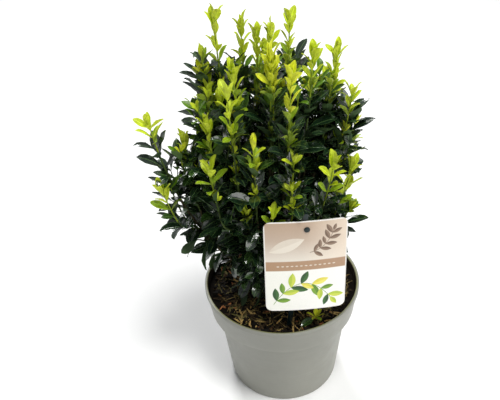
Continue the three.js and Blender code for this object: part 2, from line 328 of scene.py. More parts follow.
def addStudio():
    bm = bmesh.new()
    bmesh.ops.create_circle(bm, cap_ends=True, radius=studio["floorRadius"], segments=96)
    floor = newObject("studioFloor", meshOf(bm, "studioFloor"))
    floor.data.transform(Matrix.Translation((0, 0, -0.1 * mm)))
    floor.data.materials.append(newMaterial("paleFloor", studio["floorColour"], 0.9))

    world = bpy.data.worlds.new("studioWorld")
    world.use_nodes = True
    background = world.node_tree.nodes["Background"]
    background.inputs["Color"].default_value = (*studio["worldColour"], 1)
    background.inputs["Strength"].default_value = studio["worldStrength"]
    bpy.context.scene.world = world

    for name, box in studio["softboxes"].items():
        data = bpy.data.lights.new(name, "AREA")
        data.shape = "SQUARE"
        data.size = box["size"]
        data.energy = box["power"]
        data.color = box["colour"]
        turn = (studio["aim"] - box["place"]).to_track_quat("-Z", "Y").to_matrix().to_4x4()
        newObject(name, data).matrix_world = Matrix.Translation(box["place"]) @ turn
    bpy.context.scene.view_settings.view_transform = "Standard"


# Pot: a thin moulded wall with a deep collar, a lip, a foot ring and drain holes
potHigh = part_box("pot")[1]
potShape = {
    "steps": 128,
    "wall": 1.8 * mm,
    "collar": 35 * mm,
    "lip": 5.5 * mm,
    "rimRadius": potHigh.x,
    "collarTopRadius": 93.6 * mm,
    "collarRadius": 90 * mm,
    "bodyTopRadius": 81.6 * mm,
    "baseRadius": 69.5 * mm,
    "footRingInner": 60 * mm,
    "centrePad": 20 * mm,
    "recess": 3 * mm,
    "floorTop": 5 * mm,
    "softCorners": 0.55 * mm,
    "drains": 6,
    "drainRadius": 4 * mm,
    "drainCircle": 46 * mm,
}
ledgeHeight = potHigh.z - potShape["collar"]


def lerp(first, second, share):
    return first + (second - first) * share


def smooth(low, high, value):
    share = min(1, max(0, (value - low) / (high - low)))
    return share * share * (3 - 2 * share)


def innerRadius(height):
    if height > ledgeHeight + potShape["wall"]:
        share = (height - ledgeHeight) / potShape["collar"]
        return lerp(potShape["collarRadius"], potShape["collarTopRadius"], share) - potShape["wall"]
    share = height / ledgeHeight
    return lerp(potShape["baseRadius"], potShape["bodyTopRadius"], share) - potShape["wall"]


def potMaterial():
    material = newMaterial("pottedGrey", (0.29, 0.29, 0.25), 0.46, 0.42)
    coords = objectCoords(material)
    height = partsOf(material, coords)["Z"]
    cloud = noiseOf(material, coords, 9, 5, 0.6)
    base = ramp(material, cloud, (0.3, (0.25, 0.252, 0.222)), (0.7, (0.285, 0.284, 0.246)))

    # Fine flow lines left by the mould run round the wall
    flow = noiseOf(material, objectCoords(material, (2, 2, 160)), 5, 3)
    toned = multiplied(material, base, ramp(material, flow, (0.3, 0.975), (0.72, 1.02)))

    # Painted shade darkens the wall just under the ledge, and a painted highlight pales the ledge's edge
    ledge = rise(material, height, ledgeHeight - 20 * mm, ledgeHeight + 10 * mm)
    ledgeShadeAndHighlight = ramp(material, ledge, (0.1, 1), (0.6, 0.9), (0.65, 0.86), (0.672, 1.06), (0.9, 1))
    toned = multiplied(material, toned, ledgeShadeAndHighlight)

    # A green-brown damp stain lies along the inner edge of the lip
    radius = addNode(material, "ShaderNodeVectorMath", {0: objectCoords(material, (1, 1, 0))},
                     {"operation": "LENGTH"}).outputs["Value"]
    lipZone = rise(material, height, potHigh.z - 2 * mm, potHigh.z - 0.4 * mm)
    innerEdge = rise(material, radius, potHigh.x - 1.3 * mm, potHigh.x - 2.1 * mm)
    patches = ramp(material, noiseOf(material, coords, 38, 6, 0.65), (0.34, 0.5), (0.6, 1))
    lipStain = product(material, lipZone, innerEdge, patches)
    stainedAndShaded = mixColour(material, lipStain, toned, (0.19, 0.19, 0.06))

    # The inside of the wall above the ledge is painted nearly black up to just under the lip, for a peat
    # stain and painted shade
    wander = product(material, noiseOf(material, coords, 60, 5, 0.6), 3 * mm)
    insideTop = calc(material, "SUBTRACT", potHigh.z - 0.2 * mm, wander)
    below = calc(material, "LESS_THAN", height, insideTop)
    slope = (potShape["collarTopRadius"] - potShape["collarRadius"]) / potShape["collar"]
    middleAtFloor = potShape["collarRadius"] - ledgeHeight * slope - potShape["wall"] / 2
    middle = calc(material, "ADD", product(material, height, slope), middleAtFloor)
    inside = calc(material, "LESS_THAN", radius, middle)
    above = calc(material, "GREATER_THAN", height, ledgeHeight + 2.5 * mm)
    stainedAndShaded = mixColour(material, product(material, below, inside, above), stainedAndShaded, (0.016, 0.011, 0.007))

    # Scuffs and water marks on the wall
    scuffs = noiseOf(material, objectCoords(material, (1, 1, 3.4)), 70, 8, 0.7)
    marks = ramp(material, scuffs, (0.62, 0), (0.76, 0.16))
    marked = mixColour(material, marks, stainedAndShaded, (0.42, 0.415, 0.37))

    sheen = ramp(material, noiseOf(material, coords, 55, 6, 0.6), (0.3, 0.4), (0.7, 0.54))
    grain = bump(material, noiseOf(material, coords, 1500, 2), 0.12, 0.1 * mm)
    return dressed(material, marked, bump(material, flow, 0.1, 0.3 * mm, grain), sheen)


def makePot():
    s = potShape
    lipFoot = potHigh.z - s["lip"]
    profile = [
        (0, 0), (s["centrePad"], 0), (s["centrePad"] + 2 * mm, s["recess"]),
        (s["footRingInner"], s["recess"]), (s["footRingInner"] + 2 * mm, 0),
        (s["baseRadius"] - 0.5 * mm, 0),
        (s["baseRadius"] + 0.3 * mm, 3 * mm),
        (s["bodyTopRadius"], ledgeHeight), (s["collarRadius"] - 0.2 * mm, ledgeHeight),
        (s["collarTopRadius"], lipFoot), (s["rimRadius"], lipFoot), (s["rimRadius"], potHigh.z),
        (innerRadius(potHigh.z), potHigh.z),
        (innerRadius(ledgeHeight + 4 * mm), ledgeHeight + 4 * mm),
        (innerRadius(ledgeHeight), ledgeHeight + s["wall"]),
        (innerRadius(s["floorTop"]), s["floorTop"]),
        (0, s["floorTop"]),
    ]
    wall = meshOf(spunBody(profile, s["steps"], s["softCorners"]), "potWall")

    rods = bmesh.new()
    for i in range(s["drains"]):
        angle = math.tau * i / s["drains"]
        place = Vector((s["drainCircle"] * math.cos(angle), s["drainCircle"] * math.sin(angle), 0))
        addRod(rods, s["drainRadius"], Matrix.Translation(place))
    addPiece("pot_shell", punched(wall, rods, "pot_shell", 32), [potMaterial()], ["pot"])
    print("pot made")


# Mulch: a lumpy bed of dark peat, under shreds of bark of seven kinds
bed = {
    "level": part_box("soil")[1].z,
    "lower": 1.2 * mm,
    "edgeDip": 2.5 * mm,
    "bank": 4.2 * mm,
    "flatRadius": 66 * mm,
    "gap": 0.5 * mm,
    "rings": 34,
    "steps": 144,
    "lump": 3.2 * mm,
    "lumpScale": 42,
    "crumb": 1.2 * mm,
    "crumbScale": 210,
}
bedRadius = innerRadius(bed["level"] - bed["edgeDip"]) - bed["gap"]


def bedHeight(x, y):
    radius = math.hypot(x, y)
    slope = max(0, radius - bed["flatRadius"]) / (bedRadius - bed["flatRadius"])
    bank = bed["bank"] * smooth(0.2, 1, slope)
    lumps = noise.noise(Vector((x, y, 0)) * bed["lumpScale"]) * bed["lump"]
    crumbs = noise.noise(Vector((x, y, 0.3)) * bed["crumbScale"]) * bed["crumb"]
    fade = 1 - 0.6 * slope
    return bed["level"] - bed["lower"] - bed["edgeDip"] * slope + bank + (lumps + crumbs) * fade


def peatMaterial():
    material = newMaterial("darkPeat", (0.006, 0.004, 0.003), 0.9, 0.1)
    coords = objectCoords(material)
    fine, coarse = (noiseOf(material, coords, scale, 8, 0.7) for scale in (420, 160))
    tone = ramp(material, fine, (0.38, (0.002, 0.0014, 0.001)), (0.62, (0.009, 0.006, 0.0035)),
                (0.8, (0.04, 0.025, 0.012)))
    return dressed(material, tone, bump(material, fine, 0.8, 0.8 * mm, bump(material, coarse, 0.8, 1.5 * mm)))


def shredMaterial(name, darker, lighter):
    material = newMaterial(name, darker, 0.75, 0.15)
    coords = objectCoords(material)
    fibres = noiseOf(material, coords, 620, 5, 0.6)
    patches = noiseOf(material, coords, 90, 3, 0.5)
    blend = product(material, fibres, calc(material, "ADD", patches, 0.5))
    tone = ramp(material, blend, (0.3, darker), (0.7, lighter))
    return dressed(material, tone, bump(material, fibres, 0.7, 0.4 * mm))


# Sizes and lift are in millimetres
shredKinds = table("count length width thick lift darker lighter", {
    "mulch_dark": (700, (6, 20), (1.6, 4.6), (0.8, 2.2), 0.8, (0.0016, 0.0012, 0.001),
                   (0.011, 0.008, 0.005)),
    "mulch_brown": (420, (8, 24), (1.4, 3.6), (0.6, 1.8), 1.8, (0.003, 0.0022, 0.0014),
                    (0.082, 0.052, 0.022)),
    "mulch_olive": (220, (8, 24), (1.3, 3.0), (0.5, 1.4), 2.2, (0.01, 0.009, 0.003), (0.19, 0.165, 0.055)),
    "mulch_straw": (280, (8, 22), (0.6, 1.4), (0.4, 0.9), 2.4, (0.03, 0.023, 0.008), (0.38, 0.28, 0.105)),
    "mulch_tan": (120, (8, 25), (1.4, 3.0), (0.5, 1.4), 2.8, (0.02, 0.014, 0.005), (0.62, 0.42, 0.15)),
    "mulch_gold": (42, (7, 18), (1.4, 2.9), (0.5, 1.2), 3.2, (0.2, 0.11, 0.03), (0.95, 0.62, 0.22)),
    "mulch_orange": (64, (4, 12), (1.3, 2.9), (0.4, 1.2), 2.4, (0.06, 0.02, 0.008), (0.5, 0.2, 0.075)),
})
scatter = {"shapes": 7, "pitch": 11, "roll": 32, "sunk": -0.4}


def shredTemplate(rng):
    bm = bmesh.new()
    bmesh.ops.create_cube(bm, size=1)
    along = [e for e in bm.edges if abs(e.verts[0].co.x - e.verts[1].co.x) > 0.5]
    bmesh.ops.subdivide_edges(bm, edges=along, cuts=3, use_grid_fill=True)
    bow = rng.uniform(-0.12, 0.12)
    for v in bm.verts:
        end = abs(v.co.x) * 2
        v.co.y = v.co.y * (1 - 0.75 * end ** 2 * rng.uniform(0.6, 1)) + bow * end ** 2 * 4
        v.co.x += rng.uniform(-0.06, 0.06)
        v.co.z = v.co.z * rng.uniform(0.6, 1.1) + rng.uniform(-0.2, 0.2)
    return templateOf(bm)


def makeMulch():
    gap = bed["gap"]
    edge = bed["level"] - bed["edgeDip"]
    profile = [
        (0, potShape["floorTop"] + gap),
        (innerRadius(potShape["floorTop"]) - gap, potShape["floorTop"] + gap),
        (innerRadius(ledgeHeight) - gap, ledgeHeight),
        (innerRadius(ledgeHeight) - gap, ledgeHeight + potShape["wall"] + gap),
        (innerRadius(ledgeHeight + 4 * mm) - 2 * gap, ledgeHeight + 4 * mm + gap),
        (bedRadius, edge - 1 * mm),
    ]
    profile += [(bedRadius * (1 - i / bed["rings"]), edge) for i in range(bed["rings"] + 1)]
    bm = spunBody(profile, bed["steps"])
    for v in bm.verts:
        if v.co.z > edge - 0.5 * mm:
            v.co.z = bedHeight(v.co.x, v.co.y)
    addPiece("mulch_bed", meshOf(bm, "mulch_bed", 80), [peatMaterial()], ["soil"])

    for name, kind in shredKinds.items():
        rng = random.Random(name)
        templates = [shredTemplate(rng) for _ in range(scatter["shapes"])]
        copies = []
        for _ in range(kind["count"]):
            length, width, thick = (rng.uniform(*kind[size]) * mm for size in ("length", "width", "thick"))
            radius = (bedRadius - 2 * mm - length * 0.5) * math.sqrt(rng.random())
            angle = rng.uniform(0, math.tau)
            x, y = radius * math.cos(angle), radius * math.sin(angle)
            lift = rng.uniform(scatter["sunk"], kind["lift"]) * mm + thick * 0.5
            turn = Matrix.Rotation(rng.uniform(0, math.tau), 4, "Z")
            turn = turn @ turned(rng.gauss(0, scatter["pitch"]), "Y")
            turn = turn @ turned(rng.gauss(0, scatter["roll"]), "X")
            size = Matrix.Diagonal((length, width, thick, 1))
            place = Matrix.Translation((x, y, bedHeight(x, y) + lift))
            copies.append((rng.randrange(len(templates)), place @ turn @ size))
        material = shredMaterial(name + "_bark", kind["darker"], kind["lighter"])
        addPiece(name, joinedCopies(name, templates, copies, 35), [material])
    print("mulch made")


# Stems: every spire's own line leaves the crown with its limb and turns up towards its tip
crownLow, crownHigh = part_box("trunk")
crown = {
    "middle": Vector(((crownLow.x + crownHigh.x) / 2, (crownLow.y + crownHigh.y) / 2, 0)),
    "fork": crownHigh.z - 3 * mm,
    "ring": 6.6 * mm,
    "elbowReach": 0.84,
    "elbowRise": 0.34,
}

# Each limb's bearing from the crown, the side that its foliage is joined with, and the spires that it
# carries: it enters the first of them
limbs = table("bearing side spires", {
    "limb_left": (180, "left", ["far_left", "side_left", "mid_left", "outer_left"]),
    "limb_front_left": (228, "left", ["front_left", "upper_left", "low_left"]),
    "limb_front": (274, "right", ["front", "bright"]),
    "limb_front_right": (318, "right", ["long_front", "twin_right", "low_right"]),
    "limb_right": (2, "right", ["right", "outer_right", "edge_right", "side_right"]),
    "limb_back_right": (45, "back", ["back_right", "tall_right", "far_right", "rear_right", "last",
                                     "corner_right"]),
    "limb_back": (90, "back", ["back", "tall_middle", "twin_left", "behind_right"]),
    "limb_back_left": (135, "back", ["back_left", "tall_left", "shoulder_left", "behind_left", "rear_left",
                                     "corner_left"]),
})
sides = ("left", "right", "back")

# How each spire ends: the length of its bright growth and of the olive leaves under that, in
# millimetres, its habit, and the turn of its first pair, where 0 is seen edge-on from the front. Some
# lean out of their places by a few millimetres, and some let their old leaves hang at another angle.
spires = table("young fresh habit turn lean droop", {
    "tall_left": (44, 14, "slim", 22, (-4, 0, 4)), "tall_middle": (40, 10, "tulip", 15, (-2, 0, 1)),
    "tall_right": (38, 8, "crooked", 62, (-5, 0, 0)), "twin_left": (44, 12, "club", 70, (-3, 0, 3)),
    "twin_right": (30, 6, "club", 10, (-3, 0, 3)), "bright": (42, 6, "column", 15, (-2, 0, 0)),
    "long_front": (46, 6, "golden", 20), "right": (30, 16, "club", 15, (-1, 0, -1)),
    "outer_right": (52, 12, "trident", 65, (1, 0, 1)), "edge_right": (26, 12, "crooked", 15, (-3, 0, 3)),
    "upper_left": (24, 14, "tulip", 20), "front_left": (36, 6, "forked", 10),
    "shoulder_left": (4, 12, "bud", 5), "side_left": (22, 12, "slim", 10),
    "front": (22, 5, "star", 0), "low_left": (24, 6, "loose", 20),
    "far_left": (22, 0, "reaching", 100, (3, 0, -3), -25), "mid_left": (6, 14, "loose", 20),
    "outer_left": (28, 8, "broad", 70, (0, 0, -3), 30), "low_right": (34, 8, "broad", 15, (2, 0, -5)),
    "side_right": (44, 8, "broad", 62, (-4, 0, -2)), "back_left": (24, 14, "club", 20),
    "behind_left": (14, 12, "slim", 60, (0, 0, -10)), "behind_right": (18, 6, "club", 40),
    "back_right": (0, 0, "slim", 40, (-6, 0, 0)), "far_right": (22, 16, "club", 75),
    "rear_left": (26, 12, "open", 30), "rear_right": (26, 10, "star", 50),
    "back": (28, 12, "slim", 0), "last": (28, 10, "club", 65),
    "corner_left": (24, 10, "open", 15), "corner_right": (24, 12, "loose", 45),
})

# A habit's gap between pairs, its leaves' length and their angle to the stem, and its two shades. The
# pairs at its tip are given by their distance from the stem's end, their angle and their size.
habits = table("gap leaf spread shades tip", {
    "slim": (9.5, 17.0, 26, ("lime", "lime"), ((0.3, 12, 1.25), (2.2, 22, 1.2), (5.0, 26, 1.0))),
    "tulip": (7.4, 16.6, 25, ("lime", "lime"), ((0.3, 14, 1.15), (2.0, 20, 1.2), (4.6, 24, 1.1),
                                                (8.5, 26, 1.0))),
    "crooked": (7.5, 17.0, 30, ("lime", "lime"), ((0.3, 16, 1.15), (2.6, 36, 1.05))),
    "trident": (6.4, 18.5, 24, ("lime", "lime"), ((0.3, 7, 1.0), (1.8, 37, 0.84), (6.5, 16, 1.0))),
    "bud": (8.0, 13.0, 40, ("lime", "fresh"), ((0.3, 6, 1.0), (2.0, 18, 1.0))),
    "forked": (10.0, 18.5, 26, ("lime", "lime"), ((0.3, 15, 1.1), (2.4, 22, 1.1))),
    "club": (7.4, 17.2, 28, ("lime", "lime"), ((0.3, 9, 1.12), (2.2, 19, 1.15), (6.0, 29, 1.0))),
    "column": (5.8, 17.5, 27, ("gold", "gold"), ((0.3, 9, 1.1), (2.0, 18, 1.1), (5.0, 26, 1.0))),
    "golden": (9.6, 17.8, 24, ("gold", "gold"), ((0.3, 13, 1.12), (2.2, 20, 1.12), (6.0, 30, 0.95))),
    "open": (9.5, 20.0, 40, ("lime", "fresh"), ((0.3, 10, 1.0), (2.4, 24, 1.05))),
    "broad": (10.0, 22.0, 38, ("lime", "lime"), ((0.3, 9, 0.95), (2.2, 24, 1.0))),
    "loose": (9.5, 21.5, 44, ("lime", "fresh"), ((0.3, 11, 1.0), (3.0, 36, 1.05))),
    "reaching": (8.6, 19.6, 44, ("lime", "lime"), ((0.3, 9, 0.85), (2.4, 54, 1.0), (6.0, 28, 0.8))),
    "burst": (7.0, 14.5, 50, ("lime", "lime"), ((0.3, 16, 0.8), (1.6, 32, 1.0), (4.0, 46, 1.0))),
    "star": (9.0, 16.0, 46, ("gold", "lime"), ((0.3, 7, 1.0), (1.8, 18, 1.0))),
})

# Lesser shoots that stand between the spires: their limbs, their tips, the heights where their leaves
# begin, and how they end
extras = table("limb tip foot young fresh habit turn", {
    "by_card": ("limb_front", (-10, -60, 297), 250, 20, 6, "open", 10),
    "burst_high": ("limb_front_right", (13, -50, 352), 336, 12, 2, "burst", 20),
    "burst_low": ("limb_front_right", (11, -55, 323), 306, 12, 2, "burst", 70),
    "burst_last": ("limb_front_right", (11, -60, 304), 290, 8, 2, "burst", 10),
    "under_front": ("limb_front_left", (-38, -40, 289), 230, 14, 6, "open", 50),
    "gap_left": ("limb_left", (-100, -4, 318), 250, 0, 8, "slim", 60),
    "gap_right": ("limb_right", (58, 10, 412), 290, 0, 18, "slim", 70),
    "olive_left": ("limb_back_left", (-69, 2, 416), 300, 8, 36, "slim", 30),
    "olive_side": ("limb_left", (-71, -8, 411), 340, 0, 62, "slim", 35),
    "olive_middle": ("limb_left", (-58, -8, 406), 290, 10, 30, "club", 80),
    "bright_second": ("limb_front", (-3, -24, 452), 390, 42, 4, "column", 55),
    "under_tall_right": ("limb_back_right", (18, 24, 404), 330, 0, 0, "slim", 5),
    "under_shoulder": ("limb_back_left", (-74, 8, 428), 340, 0, 0, "slim", 0),
    "in_far_right": ("limb_back_right", (66, 34, 392), 280, 0, 14, "slim", 0),
    "in_back_right": ("limb_back_right", (46, 36, 404), 280, 0, 6, "slim", 60),
    "in_right": ("limb_right", (48, 22, 420), 280, 0, 16, "slim", 40),
    "in_middle": ("limb_back", (8, 20, 412), 280, 0, 14, "slim", 15),
    "in_left": ("limb_back_left", (-40, 24, 428), 290, 0, 16, "slim", 55),
    "in_centre": ("limb_back", (-20, 4, 410), 290, 0, 16, "slim", 85),
    "in_front": ("limb_right", (22, -10, 414), 290, 0, 14, "slim", 5),
    "end_right": ("limb_right", (82, 8, 381), 240, 0, 0, "slim", 10),
    "far_end_right": ("limb_right", (80, 22, 387), 250, 0, 6, "slim", 25),
    "right_of_card": ("limb_right", (76, -30, 277), 222, 0, 2, "loose", 10),
    "dark_left": ("limb_left", (-121, -14, 314), 262, 0, 2, "slim", 20),
    "over_card": ("limb_right", (67, -25, 287), 232, 0, 4, "loose", 0),
    "end_left": ("limb_back_left", (-84, 4, 399), 250, 0, 36, "slim", 8),
    "by_mid_left": ("limb_left", (-106, -12, 354), 300, 0, 4, "slim", 0),
    "low_end_left": ("limb_left", (-92, -6, 350), 220, 0, 24, "slim", 0),
})


def extremeOf(node, highest):
    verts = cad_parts[node].data.vertices
    return max((v.co.copy() for v in verts), key=lambda co: co.z if highest else -co.z)


def limbTipOf(limb):
    return extremeOf("spire_" + limbs[limb]["spires"][0], True)


def bend(start, lean, end, share):
    return start * (1 - share) ** 2 + lean * 2 * share * (1 - share) + end * share ** 2


def stemPoint(limb, tip, share):
    bearing, middle = math.radians(limbs[limb]["bearing"]), crown["middle"]
    start = Vector((middle.x + crown["ring"] * math.cos(bearing),
                    middle.y + crown["ring"] * math.sin(bearing), crown["fork"]))
    elbow = Vector((lerp(start.x, tip.x, crown["elbowReach"]), lerp(start.y, tip.y, crown["elbowReach"]),
                    lerp(start.z, tip.z, crown["elbowRise"])))
    return bend(start, elbow, tip, share)


# A path is a run of points with the length that has been covered at each of them
def pathOf(points):
    steps = [(b - a).length for a, b in zip(points, points[1:])]
    return {"points": points, "lengths": [sum(steps[:i]) for i in range(len(points))]}


def alongPath(path, distance):
    lengths, points = path["lengths"], path["points"]
    i = 1
    while i < len(lengths) - 1 and lengths[i] < distance:
        i += 1
    share = (distance - lengths[i - 1]) / (lengths[i] - lengths[i - 1])
    return points[i - 1].lerp(points[i], share), (points[i] - points[i - 1]).normalized()


def curvedPath(start, lean, end, count):
    return pathOf([bend(start, lean, end, i / (count - 1)) for i in range(count)])


# Leaves: each is a closed blade whose top and underside meet at its margin
leafShapes = table("rows width widest fullness petiole thick curl hook fold twist count", {
    "old": (8, 0.42, 1.2, 0.8, 0.06, 0.016, (-0.15, 0.5), (0.0, 0.5), (0.06, 0.35), (-0.3, 0.3), 12),
    "young": (7, 0.4, 1.26, 0.66, 0.04, 0.03, (-0.35, 0.15), (0.0, 0.7), (0.15, 0.5), (-0.25, 0.25), 10),
})
leafDetail = {"stalk": 0.14, "groove": 0.008, "wave": 0.011, "waves": 17, "spineSteps": 16}


def leafWidth(shape, along):
    petiole, stalk = shape["petiole"], leafDetail["stalk"]
    if along <= petiole:
        return stalk
    blade = (along - petiole) / (1 - petiole)
    outline = max(0, math.sin(math.pi * blade ** shape["widest"])) ** shape["fullness"]
    return max(stalk * (1 - blade) ** 0.5, outline)


def leafTemplate(shape, rng):
    curl, hook, fold, twist = (rng.uniform(*shape[key]) for key in ("curl", "hook", "fold", "twist"))
    wave = rng.uniform(0, math.tau)
    rows = shape["rows"]

    def rowAt(co):
        return 0.5 - 0.5 * math.cos(math.pi * round((co.y + 0.5) * rows) / rows)

    # The midrib's line bends evenly by the curl, and sharply near the tip by the hook
    def spineAt(along):
        y = z = 0
        steps = leafDetail["spineSteps"]
        for i in range(steps):
            share = along * (i + 0.5) / steps
            angle = curl * share + hook * share ** 4
            y += math.cos(angle) * along / steps
            z -= math.sin(angle) * along / steps
        return y, z, curl * along + hook * along ** 4

    def shaped(co, under):
        along, side = rowAt(co), co.x * 2
        y, z, angle = spineAt(along)
        x = side * 0.5 * shape["width"] * leafWidth(shape, along)
        rise = fold * abs(x) - (0 if side else leafDetail["groove"])
        phase = along * leafDetail["waves"] + wave + (2 if side > 0 else 0)
        rise += leafDetail["wave"] * abs(side) * math.sin(phase)
        if under:
            rise -= shape["thick"] * (1 - side * side) * (0.4 + 0.6 * (1 - along))
        y, z = y + rise * math.sin(angle), z + rise * math.cos(angle)
        roll = twist * along
        return Vector((x * math.cos(roll) - z * math.sin(roll), y, x * math.sin(roll) + z * math.cos(roll)))

    bm = bmesh.new()
    for under, across in ((False, 4), (True, 2)):
        made = bmesh.ops.create_grid(bm, x_segments=across, y_segments=rows, size=0.5)["verts"]
        faces = {face for v in made for face in v.link_faces}
        mapFaces(bm, faces, lambda face: int(under), lambda co: (co.x + 0.5, rowAt(co)))
        if under:
            bmesh.ops.reverse_faces(bm, faces=list(faces))
        for v in made:
            v.co = shaped(v.co, under)
    bmesh.ops.remove_doubles(bm, verts=bm.verts, dist=0.0005)
    bmesh.ops.holes_fill(bm, edges=[e for e in bm.edges if e.is_boundary], sides=8)
    return templateOf(bm)


# Shades: the colour of a leaf's top and of its underside. They are dealt out by spray, deep to gold.
shades = table("top under roughness", {
    "deep": ((0.005, 0.015, 0.008), (0.026, 0.052, 0.018), 0.28),
    "dark": ((0.0085, 0.026, 0.01), (0.04, 0.078, 0.023), 0.19),
    "mid": ((0.022, 0.058, 0.009), (0.07, 0.13, 0.03), 0.27),
    "leafy": ((0.09, 0.19, 0.008), (0.14, 0.25, 0.03), 0.36),
    "fresh": ((0.23, 0.35, 0.012), (0.27, 0.37, 0.035), 0.42),
    "lime": ((0.475, 0.58, 0.019), (0.49, 0.585, 0.031), 0.45),
    "gold": ((0.62, 0.68, 0.025), (0.63, 0.68, 0.033), 0.45),
})


def leafMaterial(name, colour, roughness, veinTone, glossy, thin):
    settings = {}
    if glossy:
        coat = 0.15 if name.startswith("deep") else 0.65
        settings.update({"Coat Weight": coat, "Coat Roughness": 0.1, "Coat IOR": 1.6})
    if thin:
        settings.update({"Subsurface Weight": 0.3, "Subsurface Radius": (1, 1, 0.3),
                         "Subsurface Scale": 1.2 * mm})
    material = newMaterial(name, colour, roughness, 0.8 if glossy else 0.3, settings)
    coords = objectCoords(material)
    side = fromMiddle(material, ownUV(material)[0])
    midrib = ramp(material, side, (0.014, 1), (0.05, 0))
    margin = ramp(material, side, (0.44, 0), (0.49, 0.8))
    mottle = ramp(material, noiseOf(material, coords, 210, 4), (0.3, 0.7), (0.7, 1.3))
    lines = calc(material, "MAXIMUM", midrib, margin)
    body = multiplied(material, colour, mottle)
    veined = mixColour(material, lines, body, veinTone)
    speckle = noiseOf(material, coords, 300, 2)
    sheen = ramp(material, speckle, (0.35, roughness * 0.9), (0.7, roughness * 1.15))
    ripple = noiseOf(material, coords, 170, 3, 0.6)
    rib = bump(material, midrib, 0.35, 0.3 * mm)
    return dressed(material, veined, bump(material, ripple, 0.36 if glossy else 0.22, 0.8 * mm, rib), sheen)


def leafMaterials():
    made = {}
    for name, shade in shades.items():
        glossy, thin = name in ("deep", "dark", "mid"), name in ("fresh", "lime", "gold")
        veinTone = tuple(min(1, c * 1.5 + more) for c, more in zip(shade["top"], (0.075, 0.125, 0.035)))
        underVein = tuple(min(1, c * 1.25 + 0.01) for c in shade["under"])
        made[name] = [
            leafMaterial(name + "LeafTop", shade["top"], shade["roughness"], veinTone, glossy, thin),
            leafMaterial(name + "LeafUnder", shade["under"], 0.6, underVein, False, thin),
        ]
    return made


# Card: a printed sheet, held by a peg and bent back at its sides
cardPose = {"middle": Vector((22, -76, 227)) * mm, "turn": 2.3, "lean": 4.5, "roll": -0.8, "bow": 3 * mm}
cardSize = {"width": 88 * mm, "height": 116 * mm, "thickness": 0.8 * mm, "corner": 7.5 * mm, "strips": 22}


def cardMatrix():
    turn, lean = turned(cardPose["turn"], "Z"), turned(-cardPose["lean"], "X")
    return Matrix.Translation(cardPose["middle"]) @ turn @ lean @ turned(-cardPose["roll"], "Y")


toCard = cardMatrix().inverted()


def cardBow(x):
    return cardPose["bow"] * (x / (cardSize["width"] / 2)) ** 2


def cardFaceMaterial():
    material = newMaterial("printedCard", (0.8, 0.74, 0.66), 0.34, 0.45)
    coords = objectCoords(material)
    across, up = ownUV(material)
    warm = ramp(material, up, (0.576, (0.78, 0.72, 0.63)), (0.8, (0.53, 0.415, 0.325)),
                (1.0, (0.46, 0.325, 0.225)))
    field = mixColour(material, ramp(material, across, (0.45, 0), (0.98, 0.75)), warm, (0.84, 0.72, 0.59))
    sheetTone = ramp(material, across, (0.0, (0.9, 0.9, 0.82)), (0.7, (0.93, 0.92, 0.88)))
    printed = mixColour(material, ramp(material, up, (0.468, 1), (0.472, 0)), field, sheetTone)
    band = ramp(material, up, (0.468, 0), (0.472, 1), (0.572, 1), (0.576, 0))
    bandTone = ramp(material, across, (0.0, (0.425, 0.262, 0.153)), (1.0, (0.44, 0.28, 0.178)))
    printed = mixColour(material, band, printed, bandTone)

    # A white margin runs round the sheet
    sideMargin = ramp(material, fromMiddle(material, across), (0.484, 0), (0.488, 1))
    endMargin = ramp(material, fromMiddle(material, up), (0.488, 0), (0.491, 1))
    margin = calc(material, "MAXIMUM", sideMargin, endMargin)
    printed = mixColour(material, margin, printed, (0.84, 0.82, 0.78))
    dots = ramp(material, noiseOf(material, coords, 900, 2), (0.3, 0.975), (0.7, 1.02))
    scuffs = ramp(material, noiseOf(material, coords, 60, 6, 0.7), (0.4, 0.3), (0.75, 0.44))
    waves = bump(material, noiseOf(material, coords, 26, 3), 0.12, 1 * mm)
    return dressed(material, multiplied(material, printed, dots), waves, scuffs)


def cardBackMaterial():
    material = newMaterial("cardBack", (0.82, 0.81, 0.78), 0.5)
    fibres = noiseOf(material, objectCoords(material), 700, 4)
    return dressed(material, ramp(material, fibres, (0.3, (0.78, 0.77, 0.74)), (0.7, (0.85, 0.84, 0.81))))


def makeCard():
    width, height, thickness, strips = (cardSize[key] for key in ("width", "height", "thickness", "strips"))
    bm = bmesh.new()
    bmesh.ops.create_grid(bm, x_segments=1, y_segments=1, size=0.5)
    bmesh.ops.scale(bm, verts=bm.verts, vec=(width, height, 1))
    bmesh.ops.bevel(bm, geom=bm.verts[:], offset=cardSize["corner"], offset_type="OFFSET", affect="VERTICES",
                    segments=8, profile=0.5, material=-1)
    for i in range(1, strips):
        bmesh.ops.bisect_plane(bm, geom=bm.verts[:] + bm.edges[:] + bm.faces[:], plane_no=(1, 0, 0),
                               plane_co=(width * (i / strips - 0.5), 0, 0))
    extruded(bm, bm.faces[:], (0, 0, thickness))
    bmesh.ops.rotate(bm, verts=bm.verts, cent=(0, 0, 0), matrix=Matrix.Rotation(math.pi / 2, 3, "X"))
    bmesh.ops.translate(bm, verts=bm.verts, vec=(0, thickness / 2, 0))
    bmesh.ops.recalc_face_normals(bm, faces=bm.faces)
    mapFaces(bm, bm.faces, lambda face: 0 if face.normal.y < -0.5 else 1,
             lambda co: (co.x / width + 0.5, co.z / height + 0.5))
    for v in bm.verts:
        v.co.y += cardBow(v.co.x)
    bm.transform(cardMatrix())
    sheet = meshOf(bm, "label_sheet", 30)
    for _ in range(2):
        sheet.materials.append(None)

    rods = bmesh.new()
    addRod(rods, pegSize["hole"], cardMatrix() @ pegPlace() @ turned(90, "X"))
    mesh = punched(sheet, rods, "label_sheet", 30)
    addPiece("label_sheet", mesh, [cardFaceMaterial(), cardBackMaterial()], ["label_card"])


